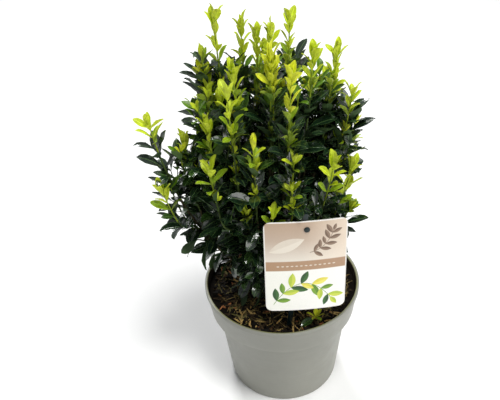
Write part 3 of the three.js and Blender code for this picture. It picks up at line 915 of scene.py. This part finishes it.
# Print: a pale leaf and a sepia twig above the band, small marks along it, and a low garland below it,
# placed in millimetres from the card's middle
inks = {
    "inkGreen": ((0.02, 0.075, 0.02), (0.045, 0.14, 0.03)),
    "inkLeafy": ((0.11, 0.25, 0.025), (0.2, 0.37, 0.04)),
    "inkLime": ((0.42, 0.56, 0.05), (0.6, 0.68, 0.09)),
    "inkYellow": ((0.74, 0.66, 0.08), (0.85, 0.78, 0.16)),
    "inkSepia": ((0.17, 0.11, 0.075), (0.27, 0.185, 0.13)),
    "inkPale": ((0.7, 0.62, 0.52), (0.78, 0.71, 0.61)),
}
inkSprays = table("left top right pairs length width stalk inks", {
    "sepia": ((4, 19), (22, 22), (29, 44), 5, 12, 4.6, "inkSepia", ["inkSepia"]),
    "garland": ((-36, -50), (-4, 4), (27, -43), 7, 17.5, 7.2, "inkLeafy",
                ["inkGreen", "inkLeafy", "inkLime", "inkGreen", "inkYellow", "inkLeafy", "inkLime"]),
})
paleMarks = table("foot count gap turn length width", {
    "leaf": ((-39, 21), 1, 0, 68, 40, 15),
    "band": ((-31.5, 2.3), 13, 5, 90, 3.4, 1.5),
})
inkDepth = {"sunk": 0.37, "proud": 0.07, "layer": 0.02}


def inkMaterial(name, darker, lighter):
    material = newMaterial(name, darker, 0.36, 0.45)
    halves = ramp(material, ownUV(material)[0], (0.46, 0), (0.54, 1))
    shade = noiseOf(material, objectCoords(material), 240, 4)
    blend = calc(material, "ADD", product(material, halves, 0.5), product(material, shade, 0.6))
    return dressed(material, ramp(material, blend, (0.25, darker), (0.75, lighter)))


def inkTemplate(slotIndex):
    bm = bmesh.new()
    bmesh.ops.create_grid(bm, x_segments=2, y_segments=8, size=0.5)
    mapFaces(bm, bm.faces, lambda face: slotIndex, lambda co: (co.x + 0.5, co.y + 0.5))
    for v in bm.verts:
        along = v.co.y + 0.5
        v.co = (v.co.x * max(0.04, math.sin(math.pi * along) ** 0.8), along, 0)
    extruded(bm, bm.faces[:], (0, 0, 1))
    bmesh.ops.recalc_face_normals(bm, faces=bm.faces)
    return templateOf(bm)


def makePrint():
    names = list(inks)
    copies = []

    def addInk(ink, x, z, angle, length, width, layer=0):
        along = Vector((math.sin(angle), 0, math.cos(angle)))
        across = Vector((math.cos(angle), 0, -math.sin(angle)))
        proud = Vector((0, -(inkDepth["proud"] + inkDepth["layer"] * layer), 0))
        matrix = Matrix((across * width, along * length, proud)).transposed().to_4x4()
        matrix.translation = Vector((x, -inkDepth["sunk"], z))
        copies.append((names.index(ink), matrix))

    def addSpray(spray, rng):
        left, top, right = (Vector((x, 0, z)) for x, z in (spray["left"], spray["top"], spray["right"]))
        path = curvedPath(left, top, right, 25)
        points = path["points"]
        for first, second in zip(points, points[1:]):
            run = second - first
            addInk(spray["stalk"], first.x, first.z, math.atan2(run.x, run.z), run.length * 1.5, 0.7)
        for i in range(spray["pairs"]):
            place, run = alongPath(path, path["lengths"][-1] * (i + 0.6) / spray["pairs"])
            heading = math.atan2(run.x, run.z)
            for hand in (-1, 1):
                ink = spray["inks"][(i + (hand > 0)) % len(spray["inks"])]
                size = rng.uniform(0.8, 1.1)
                addInk(ink, place.x, place.z, heading + hand * rng.uniform(0.65, 1.0),
                       spray["length"] * size, spray["width"] * size, 1 + i % 2)
        run = points[-1] - points[-2]
        addInk(spray["inks"][-1], right.x, right.z, math.atan2(run.x, run.z), spray["length"] * 0.7,
               spray["width"] * 0.8, 1)

    for row in paleMarks.values():
        x, z = row["foot"]
        for i in range(row["count"]):
            addInk("inkPale", x + i * row["gap"], z, math.radians(row["turn"]), row["length"], row["width"])
    for name, spray in inkSprays.items():
        addSpray(spray, random.Random(name))
    mesh = joinedCopies("label_print", [inkTemplate(i) for i in range(len(names))], copies, 30)
    place = cardMatrix()
    for v in mesh.vertices:
        co = v.co * mm
        co.y += cardBow(co.x)
        v.co = place @ co
    addPiece("label_print", mesh, [inkMaterial(name, *tones) for name, tones in inks.items()])


# Stick: a ribbed strip pushed into the mulch, with a peg that the card hangs on
stickShape = {
    "foot": Vector((3, -69, 134)) * mm, "top": Vector((23, -69, 293)) * mm, "width": 5.2 * mm,
    "web": 1.2 * mm, "rib": 1.4 * mm, "depth": 2.4 * mm, "inSoil": 42 * mm, "taper": 12 * mm,
}
pegSize = {
    "across": 1 * mm, "up": 48 * mm, "shaft": 1.5 * mm, "head": 3.2 * mm, "hole": 2.2 * mm, "thick": 1.6 * mm,
    "back": 0.2 * mm, "edge": -0.4 * mm, "proud": 0.9 * mm,
}


def pegPlace():
    return Matrix.Translation((pegSize["across"], cardBow(pegSize["across"]), pegSize["up"]))


def stickMaterial():
    material = newMaterial("tealPlastic", (0.006, 0.028, 0.026), 0.32, 0.5)
    streaks = noiseOf(material, objectCoords(material, (1, 1, 0.15)), 240, 4)
    tone = ramp(material, streaks, (0.3, (0.001, 0.005, 0.006)), (0.7, (0.004, 0.016, 0.016)))
    sheen = ramp(material, noiseOf(material, objectCoords(material), 180, 4), (0.3, 0.26), (0.7, 0.42))
    return dressed(material, tone, roughness=sheen)


def makeStick():
    s = stickShape
    down = s["foot"] - s["top"]
    length = down.length + s["inSoil"]
    half, back, web, rib = s["width"] / 2, s["depth"] / 2, s["web"], s["rib"] / 2
    outline = [(-half, -back), (half, -back), (half, web - back), (rib, web - back),
               (rib, back), (-rib, back), (-rib, web - back), (-half, web - back)]
    rings = [(half * (1 - math.cos(math.pi * i / 12)), math.sin(math.pi * i / 12)) for i in range(1, 7)]
    rings += [(length - s["taper"], 1.0), (length - 1 * mm, 0.25), (length, 0.06)]
    bm = bmesh.new()
    face = bm.faces.new([bm.verts.new((x * 0.12, y, 0)) for x, y in outline])
    for depth, share in rings:
        made = bmesh.ops.extrude_face_region(bm, geom=[face])["geom"]
        bm.faces.remove(face)
        face = next(item for item in made if isinstance(item, bmesh.types.BMFace))
        for v, (x, y) in zip(face.verts, outline):
            v.co = (x * share, y if depth < length - 5 * mm else y * max(share, 0.3), -depth)
    bmesh.ops.recalc_face_normals(bm, faces=bm.faces)
    bmesh.ops.bevel(bm, geom=[e for e in bm.edges if e.calc_face_angle(0) > 0.6], offset=0.22 * mm,
                    offset_type="OFFSET", affect="EDGES", segments=2, profile=0.5, material=-1,
                    clamp_overlap=True)
    bm.transform(Matrix.Translation(s["top"]) @ Matrix.Rotation(math.atan2(-down.x, -down.z), 4, "Y"))

    # The peg runs from the stick through the card's hole, and ends in a domed head
    head, shaft, thick, back, edge = (pegSize[key] for key in ("head", "shaft", "thick", "back", "edge"))
    start = cardMatrix() @ pegPlace().translation - Vector((0, pegSize["proud"], 0))
    shaftLength = s["top"].y - s["depth"] / 4 - start.y
    profile = [(0, shaftLength), (shaft, shaftLength), (shaft, back), (head, back), (head, edge)]
    profile += [(head * math.cos(math.pi * i / 16), edge - (thick - back + edge) * math.sin(math.pi * i / 16))
                for i in range(1, 8)]
    peg = spunBody(profile + [(0, back - thick)], 32)
    peg.transform(Matrix.Translation(start) @ turned(-90, "X"))
    material = stickMaterial()
    addPiece("label_stake", meshOf(bm, "label_stake", 35), [material], ["label_stick"])
    addPiece("label_peg", meshOf(peg, "label_peg", 35), [material])
    print("label made")


# Leaves keep clear of the label card, the pot's wall and the mulch
clearance = {"cardEdge": 3 * mm, "cardFace": 4 * mm, "wall": 1.5 * mm, "mulch": 0.6 * mm}


def isClear(point):
    local, margin = toCard @ point, clearance["cardEdge"]
    beside = abs(local.x) > cardSize["width"] / 2 + margin or abs(local.z) > cardSize["height"] / 2 + margin
    if not beside and local.y < cardPose["bow"] + clearance["cardFace"]:
        return False
    if point.z < potHigh.z + clearance["wall"]:
        radius = math.hypot(point.x, point.y)
        aboveMulch = point.z > bedHeight(point.x, point.y) + clearance["mulch"]
        return radius < innerRadius(point.z) - clearance["wall"] and aboveMulch
    return True


sprays = {side: {shade: [] for shade in shades} for side in sides}
stems = {side: {"wood": [], "green": [], "young": []} for side in sides}
firstOf = {"old": 0, "young": leafShapes["old"]["count"]}
upward = Vector((0, 0, 1))


def addLeaf(side, shade, kind, place, stem, outward, length, angle, rng, lift=0.0, rolling=0.2, sag=0.0):
    tilt = math.radians(angle)
    blade = (stem * math.cos(tilt) + outward * math.sin(tilt) - upward * sag).normalized()
    face = stem * math.sin(tilt) - outward * math.cos(tilt) + upward * lift
    across = blade.cross(face).normalized()
    roll = Matrix.Rotation(rng.gauss(0, rolling), 3, blade)
    across, face = roll @ across, roll @ across.cross(blade)
    root = place + outward * 0.5 * mm
    if not all(isClear(root + blade * length * share) for share in (0.35, 0.7, 1.0)):
        return
    matrix = Matrix((across * length, blade * length, face * length)).transposed().to_4x4()
    matrix.translation = root
    sprays[side][shade].append((firstOf[kind] + rng.randrange(leafShapes[kind]["count"]), matrix))


def addStem(side, kind, points, first, last):
    if len(points) > 1:
        stems[side][kind].append((points, first * mm, last * mm))


def outwardAt(stem, turn):
    reference = Vector((0, 1, 0)) if abs(stem.y) < 0.9 else Vector((1, 0, 0))
    sideways = stem.cross(reference).normalized()
    return sideways * math.cos(turn) + stem.cross(sideways) * math.sin(turn)


def addPair(side, shade, kind, path, back, turn, length, spread, rng, lift=0.0, droop=0.0, rolling=0.35,
            sag=0.0):
    place, stem = alongPath(path, path["lengths"][-1] - back * mm)
    away = Vector((place.x - crown["middle"].x, place.y - crown["middle"].y, 0)).normalized()
    for half in (0, math.pi):
        outward = outwardAt(stem, turn + half + rng.gauss(0, 0.2))
        size = length * (rng.uniform(0.86, 1.06) if kind == "old" else rng.uniform(0.82, 1.12)) * mm
        angle = spread + rng.gauss(0, 7) + droop * max(0, outward.dot(away))
        addLeaf(side, shade, kind, place, stem, outward, size, angle, rng, lift, rolling, sag)
    return place, stem


# The pairs at the very tip clasp each other and open like a small tulip
def growTip(side, path, habit, turn, rng, reach=1.0):
    for k, (back, spread, size) in enumerate(habit["tip"]):
        addPair(side, habit["shades"][0], "young", path, back * reach, turn + k * math.pi / 2,
                habit["leaf"] * size * reach, spread, rng)
    return habit["tip"][-1][0] * reach, len(habit["tip"])


def reachOf(habit):
    back, spread, size = habit["tip"][0]
    return (habit["leaf"] * size * math.cos(math.radians(spread)) * 0.78 - back) * mm


# Short bright shoots break from the axils of old leaves. Their pairs are given by distance from the end
# and spread. Twigs break lower down. Lengths and gaps are in millimetres.
shootRule = {
    "chance": 0.3, "between": 0.14, "length": (3, 10), "leaf": (9, 15),
    "pairs": ((0.3, 12), (1.6, 30), (6, 44)),
    "highShades": ["lime", "lime", "gold", "fresh"], "lowShades": ["lime", "fresh", "fresh", "leafy"],
}
twigRule = {
    "outer": 0.1, "inner": 0.32, "length": (20, 40), "gap": 12, "leaf": (25, 32), "below": 32,
    "shades": ["mid", "dark", "dark", "deep"],
}


def growShoot(side, start, stem, outward, length, high, rng):
    lean = start + (stem * 0.75 + outward * 0.5) * length * 0.5
    end = lean + (stem * 0.6 + outward * 0.15 + upward * 0.4) * length * 0.5
    if not isClear(end + upward * (8 * mm)):
        return
    path = curvedPath(start, lean, end, 6)
    addStem(side, "young", path["points"], 0.7, 0.5)
    turn = rng.uniform(0, math.pi)
    shade = rng.choice(shootRule["highShades" if high > 0.6 else "lowShades"])
    for k, (back, spread) in enumerate(shootRule["pairs"]):
        if back > length / mm:
            break
        size = rng.uniform(*shootRule["leaf"]) * (1.1 if k == 2 else 1)
        shade = shade if k < 2 else "fresh"
        addPair(side, shade, "young", path, back, turn + k * math.pi / 2, size, spread, rng)


def growTwig(side, start, stem, outward, length, fresh, rng):
    lean = start + (stem * 0.5 + outward * 0.6) * length * 0.5
    end = lean + (stem * 0.55 + outward * 0.25 + upward * 0.45) * length * 0.6
    if not isClear(end) or not isClear(lean):
        return
    path = curvedPath(start, lean, end, 9)
    total = path["lengths"][-1] / mm
    addStem(side, "young" if fresh else "green", path["points"], 0.75, 0.5)
    turn = rng.uniform(0, math.pi)
    back, k = growTip(side, path, habits["open"], turn, rng, rng.uniform(0.55, 0.8)) if fresh else (0.5, 0)
    while back < total - 4:
        share = back / total
        shade = "leafy" if fresh and share < 0.4 else rng.choice(twigRule["shades"])
        length = rng.uniform(*twigRule["leaf"]) * (0.7 + 0.35 * share)
        addPair(side, shade, "old", path, back, turn + k * math.pi / 2, length, 36 + 24 * share, rng, 0.3, 16)
        back += twigRule["gap"] * rng.uniform(0.8, 1.2)
        k += 1


def endsOf(name):
    if name in extras:
        return Vector(extras[name]["tip"]) * mm, extras[name]["foot"] * mm, extras[name]
    lean, node = Vector(spires[name].get("lean", (0, 0, 0))) * mm, "spire_" + name
    return extremeOf(node, True) + lean, extremeOf(node, False).z, spires[name]


# A spire's stem follows the limb's first spire, and leaves it the later, the higher its order
def spirePath(name, limb, order, rng, steps=60):
    tip, foot, ends = endsOf(name)
    limbTip = limbTipOf(limb)
    leave = 0.16 + 0.07 * order if order else 0.0
    wobble = rng.uniform(0, math.tau)
    points = []
    for i in range(steps + 1):
        share = i / steps
        if share >= leave - 0.02:
            own = stemPoint(limb, tip, share)
            point = stemPoint(limb, limbTip, share).lerp(own, smooth(leave, leave + 0.34, share))
            sway = 0.9 * mm * smooth(0, 0.3, share - leave) * (1 - share)
            swing = Vector((math.sin(i * 0.35 + wobble), math.cos(i * 0.31 + wobble), 0))
            points.append(point + swing * sway)
    path = pathOf(points)
    end = path["lengths"][-1] - reachOf(habits[ends["habit"]])
    return pathOf([point for point, length in zip(points, path["lengths"]) if length < end])


# Old leaves grow longer, further apart and flatter over a stretch below the olive ones
oldRule = {
    "length": (26, 32.5), "gap": (9, 13), "grownBy": (0, 20), "spread": (34, 68), "flatBy": (5, 80),
    "hangBy": (10, 70), "deepFrom": 100, "darkFrom": 12, "lift": 0.35,
}


def oldShades(past):
    if past < oldRule["darkFrom"]:
        return ["mid", "dark", "dark"]
    return ["dark", "dark" if past < oldRule["deepFrom"] else "deep", "deep"]


# How far below the young tip the stem turns green and brown, and where the leaves end: a spire in front bears
# them from lower down than the rest, and its old leaves hang more. Only high places carry young shoots
spireRule = {
    "green": 12, "greenIfGolden": 30, "brown": 70, "sway": 0.12, "frontFrom": -20 * mm, "bare": 12,
    "front": (-50 * mm, 18), "rest": (4 * mm, 10), "overRim": 14 * mm, "shootsBy": (230 * mm, 340 * mm),
}


def growSpire(name, limb, order, rng):
    side = limbs[limb]["side"]
    tip, foot, ends = endsOf(name)
    young, fresh, habit = ends["young"], ends["fresh"], habits[ends["habit"]]
    path = spirePath(name, limb, order, rng)
    points, total = path["points"], path["lengths"][-1] / mm

    def indexAt(back):
        return max(0, sum(length < (total - back) * mm for length in path["lengths"]) - 1)

    greenBelow = spireRule["greenIfGolden" if ends["habit"] == "golden" else "green"]
    brown, green = indexAt(young + fresh + spireRule["brown"]), indexAt(young + greenBelow)
    addStem(side, "wood", points[:brown + 1], 1.9, 1.3)
    addStem(side, "green", points[brown:green + 1], 1.3, 1.0)
    addStem(side, "young", points[green:], 1.0, 0.6)

    turn = math.radians(ends["turn"]) + rng.gauss(0, spireRule["sway"])
    back, k = 0.3, 0
    if young:
        back, k = growTip(side, path, habit, turn, rng)
        back += habit["gap"] * 0.85
    footing, droop = spireRule["front" if points[-1].y < spireRule["frontFrom"] else "rest"]
    droop = ends.get("droop", droop)
    lowest = max(foot + footing, potHigh.z + spireRule["overRim"])
    while back < total - spireRule["bare"] and alongPath(path, (total - back) * mm)[0].z > lowest:
        heading = turn + k * math.pi / 2 + rng.gauss(0, spireRule["sway"])
        past = back - young - fresh
        if back < young:
            share = back / young
            spread, gap = habit["spread"] + 10 * share, habit["gap"]
            length = habit["leaf"] * lerp(0.85, 1.05, share)
            shade = habit["shades"][1] if share < 0.75 else "fresh"
            addPair(side, shade, "young", path, back, heading, length, spread, rng)
        else:
            if past < 0:
                share = (back - young) / fresh
                shade = rng.choice(["fresh", "leafy"] if share < 0.35 else ["leafy", "mid"])
                length, spread, gap = 18 + 4 * share, 34 + 12 * share, 8
            else:
                shade = rng.choice(oldShades(past))
                grown = smooth(*oldRule["grownBy"], past)
                length, gap = lerp(*oldRule["length"], grown), lerp(*oldRule["gap"], grown)
                spread = lerp(*oldRule["spread"], smooth(*oldRule["flatBy"], past))
            hang = (oldRule["lift"], droop * smooth(*oldRule["hangBy"], past))
            place, stem = addPair(side, shade, "old", path, back, heading, length, spread, rng, *hang)
            for half in (0, math.pi):
                outward = outwardAt(stem, heading + half)
                draw, high = rng.random(), (place.z - foot) / (tip.z - foot)
                high *= smooth(*spireRule["shootsBy"], place.z)
                inward = outward.xy.dot(crown["middle"].xy - place.xy) > 0
                twigChance = twigRule["inner" if inward else "outer"]
                if draw < shootRule["between" if name in extras else "chance"] * high:
                    size = rng.uniform(*shootRule["length"]) * mm
                    growShoot(side, place, stem, outward, size, high, rng)
                elif back > young + twigRule["below"] and draw > 1 - twigChance:
                    size = rng.uniform(*twigRule["length"]) * mm
                    growTwig(side, place, stem, outward, size, past < 0 or rng.random() < 0.3 * high, rng)
        back += gap * rng.uniform(0.85, 1.15)
        k += 1


# Low foliage: twigs from the foot of the nearest limb fill the space of each skirt, and others lean out
# low over the mulch and the rim to tips of their own. "hang" gives lift, droop, rolling and sag.
skirts = {
    "skirt_left": "limb_left", "skirt_front": "limb_front", "skirt_right": "limb_right",
    "skirt_back": "limb_back", "skirt_back_right": "limb_back_right",
}
lowTwigs = [
    ("limb_left", (-80, 12, 184)), ("limb_left", (-97, -16, 226)), ("limb_front_left", (-44, -24, 156)),
    ("limb_front", (-26, -38, 160)), ("limb_front", (-14, -30, 152)),
    ("limb_right", (60, 4, 172)), ("limb_right", (58, 16, 204)),
    ("limb_back_right", (66, 44, 190)), ("limb_back", (4, 74, 180)), ("limb_back_left", (-58, 60, 180)),
]
lowRules = table("bare end shades tipShades tipSize tipSpread spread hang", {
    "skirt": (14, 0.6, ["deep", "deep", "dark"], ["dark", "mid"], 0.7, 30, 56, (0.3,)),
    "rim": (16, 0.7, ["dark", "deep", "deep"], ["dark", "deep", "deep"], 0.9, 34, 62, (0.2, 6, 0.4, 0.8)),
})
lowLeaves = {"twigs": 8, "gap": 12, "length": (26, 33), "firstSeed": 300}


def growLowTwig(side, path, rule, rng):
    total = path["lengths"][-1] / mm
    addStem(side, "wood", path["points"], 1.2, rule["end"])
    turn = rng.uniform(0, math.pi)
    back, k = 0.5, 0
    while back < total - rule["bare"]:
        shade = rng.choice(rule["shades" if k else "tipShades"])
        length = rng.uniform(*lowLeaves["length"]) * (1 if k else rule["tipSize"])
        spread = rule["spread" if k else "tipSpread"]
        addPair(side, shade, "old", path, back, turn + k * math.pi / 2, length, spread, rng, *rule["hang"])
        back += lowLeaves["gap"] * rng.uniform(0.85, 1.2)
        k += 1


def growSkirt(node, limb, rng):
    low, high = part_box(node)
    middle, half = (low + high) / 2, (high - low) / 2
    for i in range(lowLeaves["twigs"]):
        start = stemPoint(limb, limbTipOf(limb), rng.uniform(0.03, 0.2))
        angle = math.tau * (i + rng.random()) / lowLeaves["twigs"]
        spread = rng.uniform(0.3, 0.75)
        end = Vector((middle.x + half.x * spread * math.cos(angle),
                      middle.y + half.y * spread * math.sin(angle),
                      lerp(low.z, high.z, rng.uniform(0.45, 0.95))))
        lean = start.lerp(end, 0.6) + upward * (rng.uniform(-2, 9) * mm)
        growLowTwig(limbs[limb]["side"], curvedPath(start, lean, end, 12), lowRules["skirt"], rng)


def growLow(limb, tip, rng):
    start, end = stemPoint(limb, limbTipOf(limb), rng.uniform(0.04, 0.1)), Vector(tip) * mm
    lean = start.lerp(end, 0.55) + upward * (20 * mm)
    growLowTwig(limbs[limb]["side"], curvedPath(start, lean, end, 12), lowRules["rim"], rng)


# A small sucker comes up through the mulch by the foot of the label, beside one old leaf: each leaf's
# bearing, its angle to the stem, its length, shade and kind, and how much it may roll
sucker = [
    (84, 10, 13, "gold", "young", 0.2), (20, 34, 11.5, "gold", "young", 0.2),
    (165, 64, 11.5, "gold", "young", 0.2), (345, 60, 11.5, "gold", "young", 0.2),
    (300, 66, 11, "fresh", "young", 0.2), (240, 62, 10.5, "gold", "young", 0.2),
    (216, 86, 22, "mid", "old", 0.1),
]


def growSucker(rng):
    low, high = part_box("ground_shoot")
    middle = (low + high) / 2
    foot = Vector((middle.x - 3 * mm, middle.y, bedHeight(middle.x, middle.y)))
    start, end = foot - upward * (3 * mm), foot + upward * (4.5 * mm)
    path = curvedPath(start, start.lerp(end, 0.5), end, 5)
    addStem("right", "young", path["points"], 0.9, 0.7)
    for degrees, angle, length, shade, kind, rolling in sucker:
        bearing = math.radians(degrees)
        outward = Vector((math.cos(bearing), math.sin(bearing), 0))
        addLeaf("right", shade, kind, end, upward, outward, length * mm, angle, rng, 0, rolling)


def barkMaterial(name, darker, lighter, roughness=0.85):
    material = newMaterial(name, darker, roughness, 0.2)
    ridges = noiseOf(material, objectCoords(material, (1, 1, 0.22)), 520, 6, 0.65)
    spots = noiseOf(material, objectCoords(material), 240, 3)
    tone = ramp(material, ridges, (0.3, darker), (0.68, lighter))
    dusty = ramp(material, spots, (0.55, 0), (0.75, 0.4))
    dusted = mixColour(material, dusty, tone, tuple(c * 1.5 for c in lighter))
    return dressed(material, dusted, bump(material, ridges, 0.8, 0.6 * mm))


def tubes(name, runs, corners=6):
    curve = bpy.data.curves.new(name, "CURVE")
    curve.dimensions = "3D"
    curve.bevel_depth = 1.0
    curve.bevel_resolution = max(0, (corners - 4) // 2)
    curve.use_fill_caps = True
    for points, first, last in runs:
        spline = curve.splines.new("POLY")
        spline.points.add(len(points) - 1)
        for i, point in enumerate(points):
            spline.points[i].co = (*point, 1)
            spline.points[i].radius = lerp(first, last, i / (len(points) - 1))
    mesh = finishedMesh(newObject(name, curve), name)
    mesh.shade_smooth()
    return mesh


# Trunk and limbs
trunkShape = {
    "radius": 8.9 * mm, "sunk": 9 * mm, "flare": 4.6 * mm, "bulge": 1.2 * mm, "rings": 26, "steps": 56,
}
limbShape = {"foot": 2.25 * mm, "tip": 1.5 * mm, "step": 0.006, "corners": 12, "ridge": 0.34 * mm}


def makeTrunk(material):
    s = trunkShape
    bottom = bed["level"] - s["sunk"]
    profile = [(0, bottom)]
    for i in range(s["rings"] + 1):
        height = i / s["rings"]
        flare = s["flare"] * (1 - height) ** 2.2 + s["bulge"] * smooth(0.55, 0.95, height)
        shoulder = 1 - 0.75 * smooth(0.88, 1, height)
        profile.append(((s["radius"] + flare) * shoulder, lerp(bottom, crownHigh.z, height)))
    profile.append((0, crownHigh.z))
    bm = spunBody(profile, s["steps"])
    for v in bm.verts:
        radius = math.hypot(v.co.x, v.co.y)
        if radius > 0.5 * mm:
            angle = math.atan2(v.co.y, v.co.x)
            ribs = 0.10 * math.sin(5 * angle + 3) + 0.05 * math.sin(9 * angle + v.co.z * 90)
            rough = 0.16 * noise.noise(Vector((v.co.x * 260, v.co.y * 260, v.co.z * 90)))
            v.co.x *= 1 + ribs + rough
            v.co.y *= 1 + ribs + rough
    bmesh.ops.translate(bm, verts=bm.verts, vec=crown["middle"])
    addPiece("trunk_bark", meshOf(bm, "trunk_bark", 60), [material], ["trunk"])


def makeLimbs(material):
    s = limbShape
    for limb in limbs:
        name, tip, top = limb + "_bark", limbTipOf(limb), extremeOf(limb, True).z + 1 * mm
        share, points = 0.0, []
        while stemPoint(limb, tip, share).z < top:
            points.append(stemPoint(limb, tip, share))
            share += s["step"]
        bm = bmesh.new()
        bm.from_mesh(tubes(name, [(points, s["foot"], s["tip"])], s["corners"]))
        for v in bm.verts:
            ridge = noise.noise(Vector((v.co.x * 700, v.co.y * 700, v.co.z * 160)))
            v.co += v.normal * ridge * s["ridge"]
        addPiece(name, meshOf(bm, name, 70), [material], [limb])


# The leaves of one side and shade are joined, and so are its stems of one kind
def makePlant():
    templates = []
    for kind, shape in leafShapes.items():
        rng = random.Random(kind)
        templates += [leafTemplate(shape, rng) for _ in range(shape["count"])]
    bark = barkMaterial("greyBark", (0.045, 0.034, 0.019), (0.15, 0.118, 0.066))
    makeTrunk(bark)
    makeLimbs(bark)
    print("trunk and limbs made")

    for limb, row in limbs.items():
        for order, name in enumerate(row["spires"]):
            growSpire(name, limb, order, random.Random(name))
    for node, limb in skirts.items():
        growSkirt(node, limb, random.Random(node))
    for name, extra in extras.items():
        growSpire(name, extra["limb"], 2, random.Random(name))
    for i, (limb, tip) in enumerate(lowTwigs):
        growLow(limb, tip, random.Random(lowLeaves["firstSeed"] + i))
    growSucker(random.Random("sucker"))

    materials = leafMaterials()
    for side in sides:
        nodes = ["spire_" + spire for row in limbs.values() if row["side"] == side for spire in row["spires"]]
        nodes += [node for node, limb in skirts.items() if limbs[limb]["side"] == side]
        if side == "right":
            nodes.append("ground_shoot")
        for shade, copies in sprays[side].items():
            if copies:
                name = f"leaves_{side}_{shade}"
                replaced = nodes if shade == "deep" else ()
                addPiece(name, joinedCopies(name, templates, copies), materials[shade], replaced)
                print(name, len(copies), "leaves")
    skins = {
        "wood": barkMaterial("brownTwig", (0.03, 0.026, 0.013), (0.10, 0.085, 0.04)),
        "green": barkMaterial("greenTwig", (0.035, 0.06, 0.012), (0.085, 0.13, 0.028), 0.6),
        "young": barkMaterial("youngTwig", (0.17, 0.25, 0.015), (0.32, 0.4, 0.03), 0.7),
    }
    for side, kinds in stems.items():
        for kind, runs in kinds.items():
            if runs:
                name = f"stems_{side}_{kind}"
                addPiece(name, tubes(name, runs), [skins[kind]])
    print("foliage made")


makePot()
makeMulch()
makeCard()
makePrint()
makeStick()
makePlant()
addStudio()
addCamera()
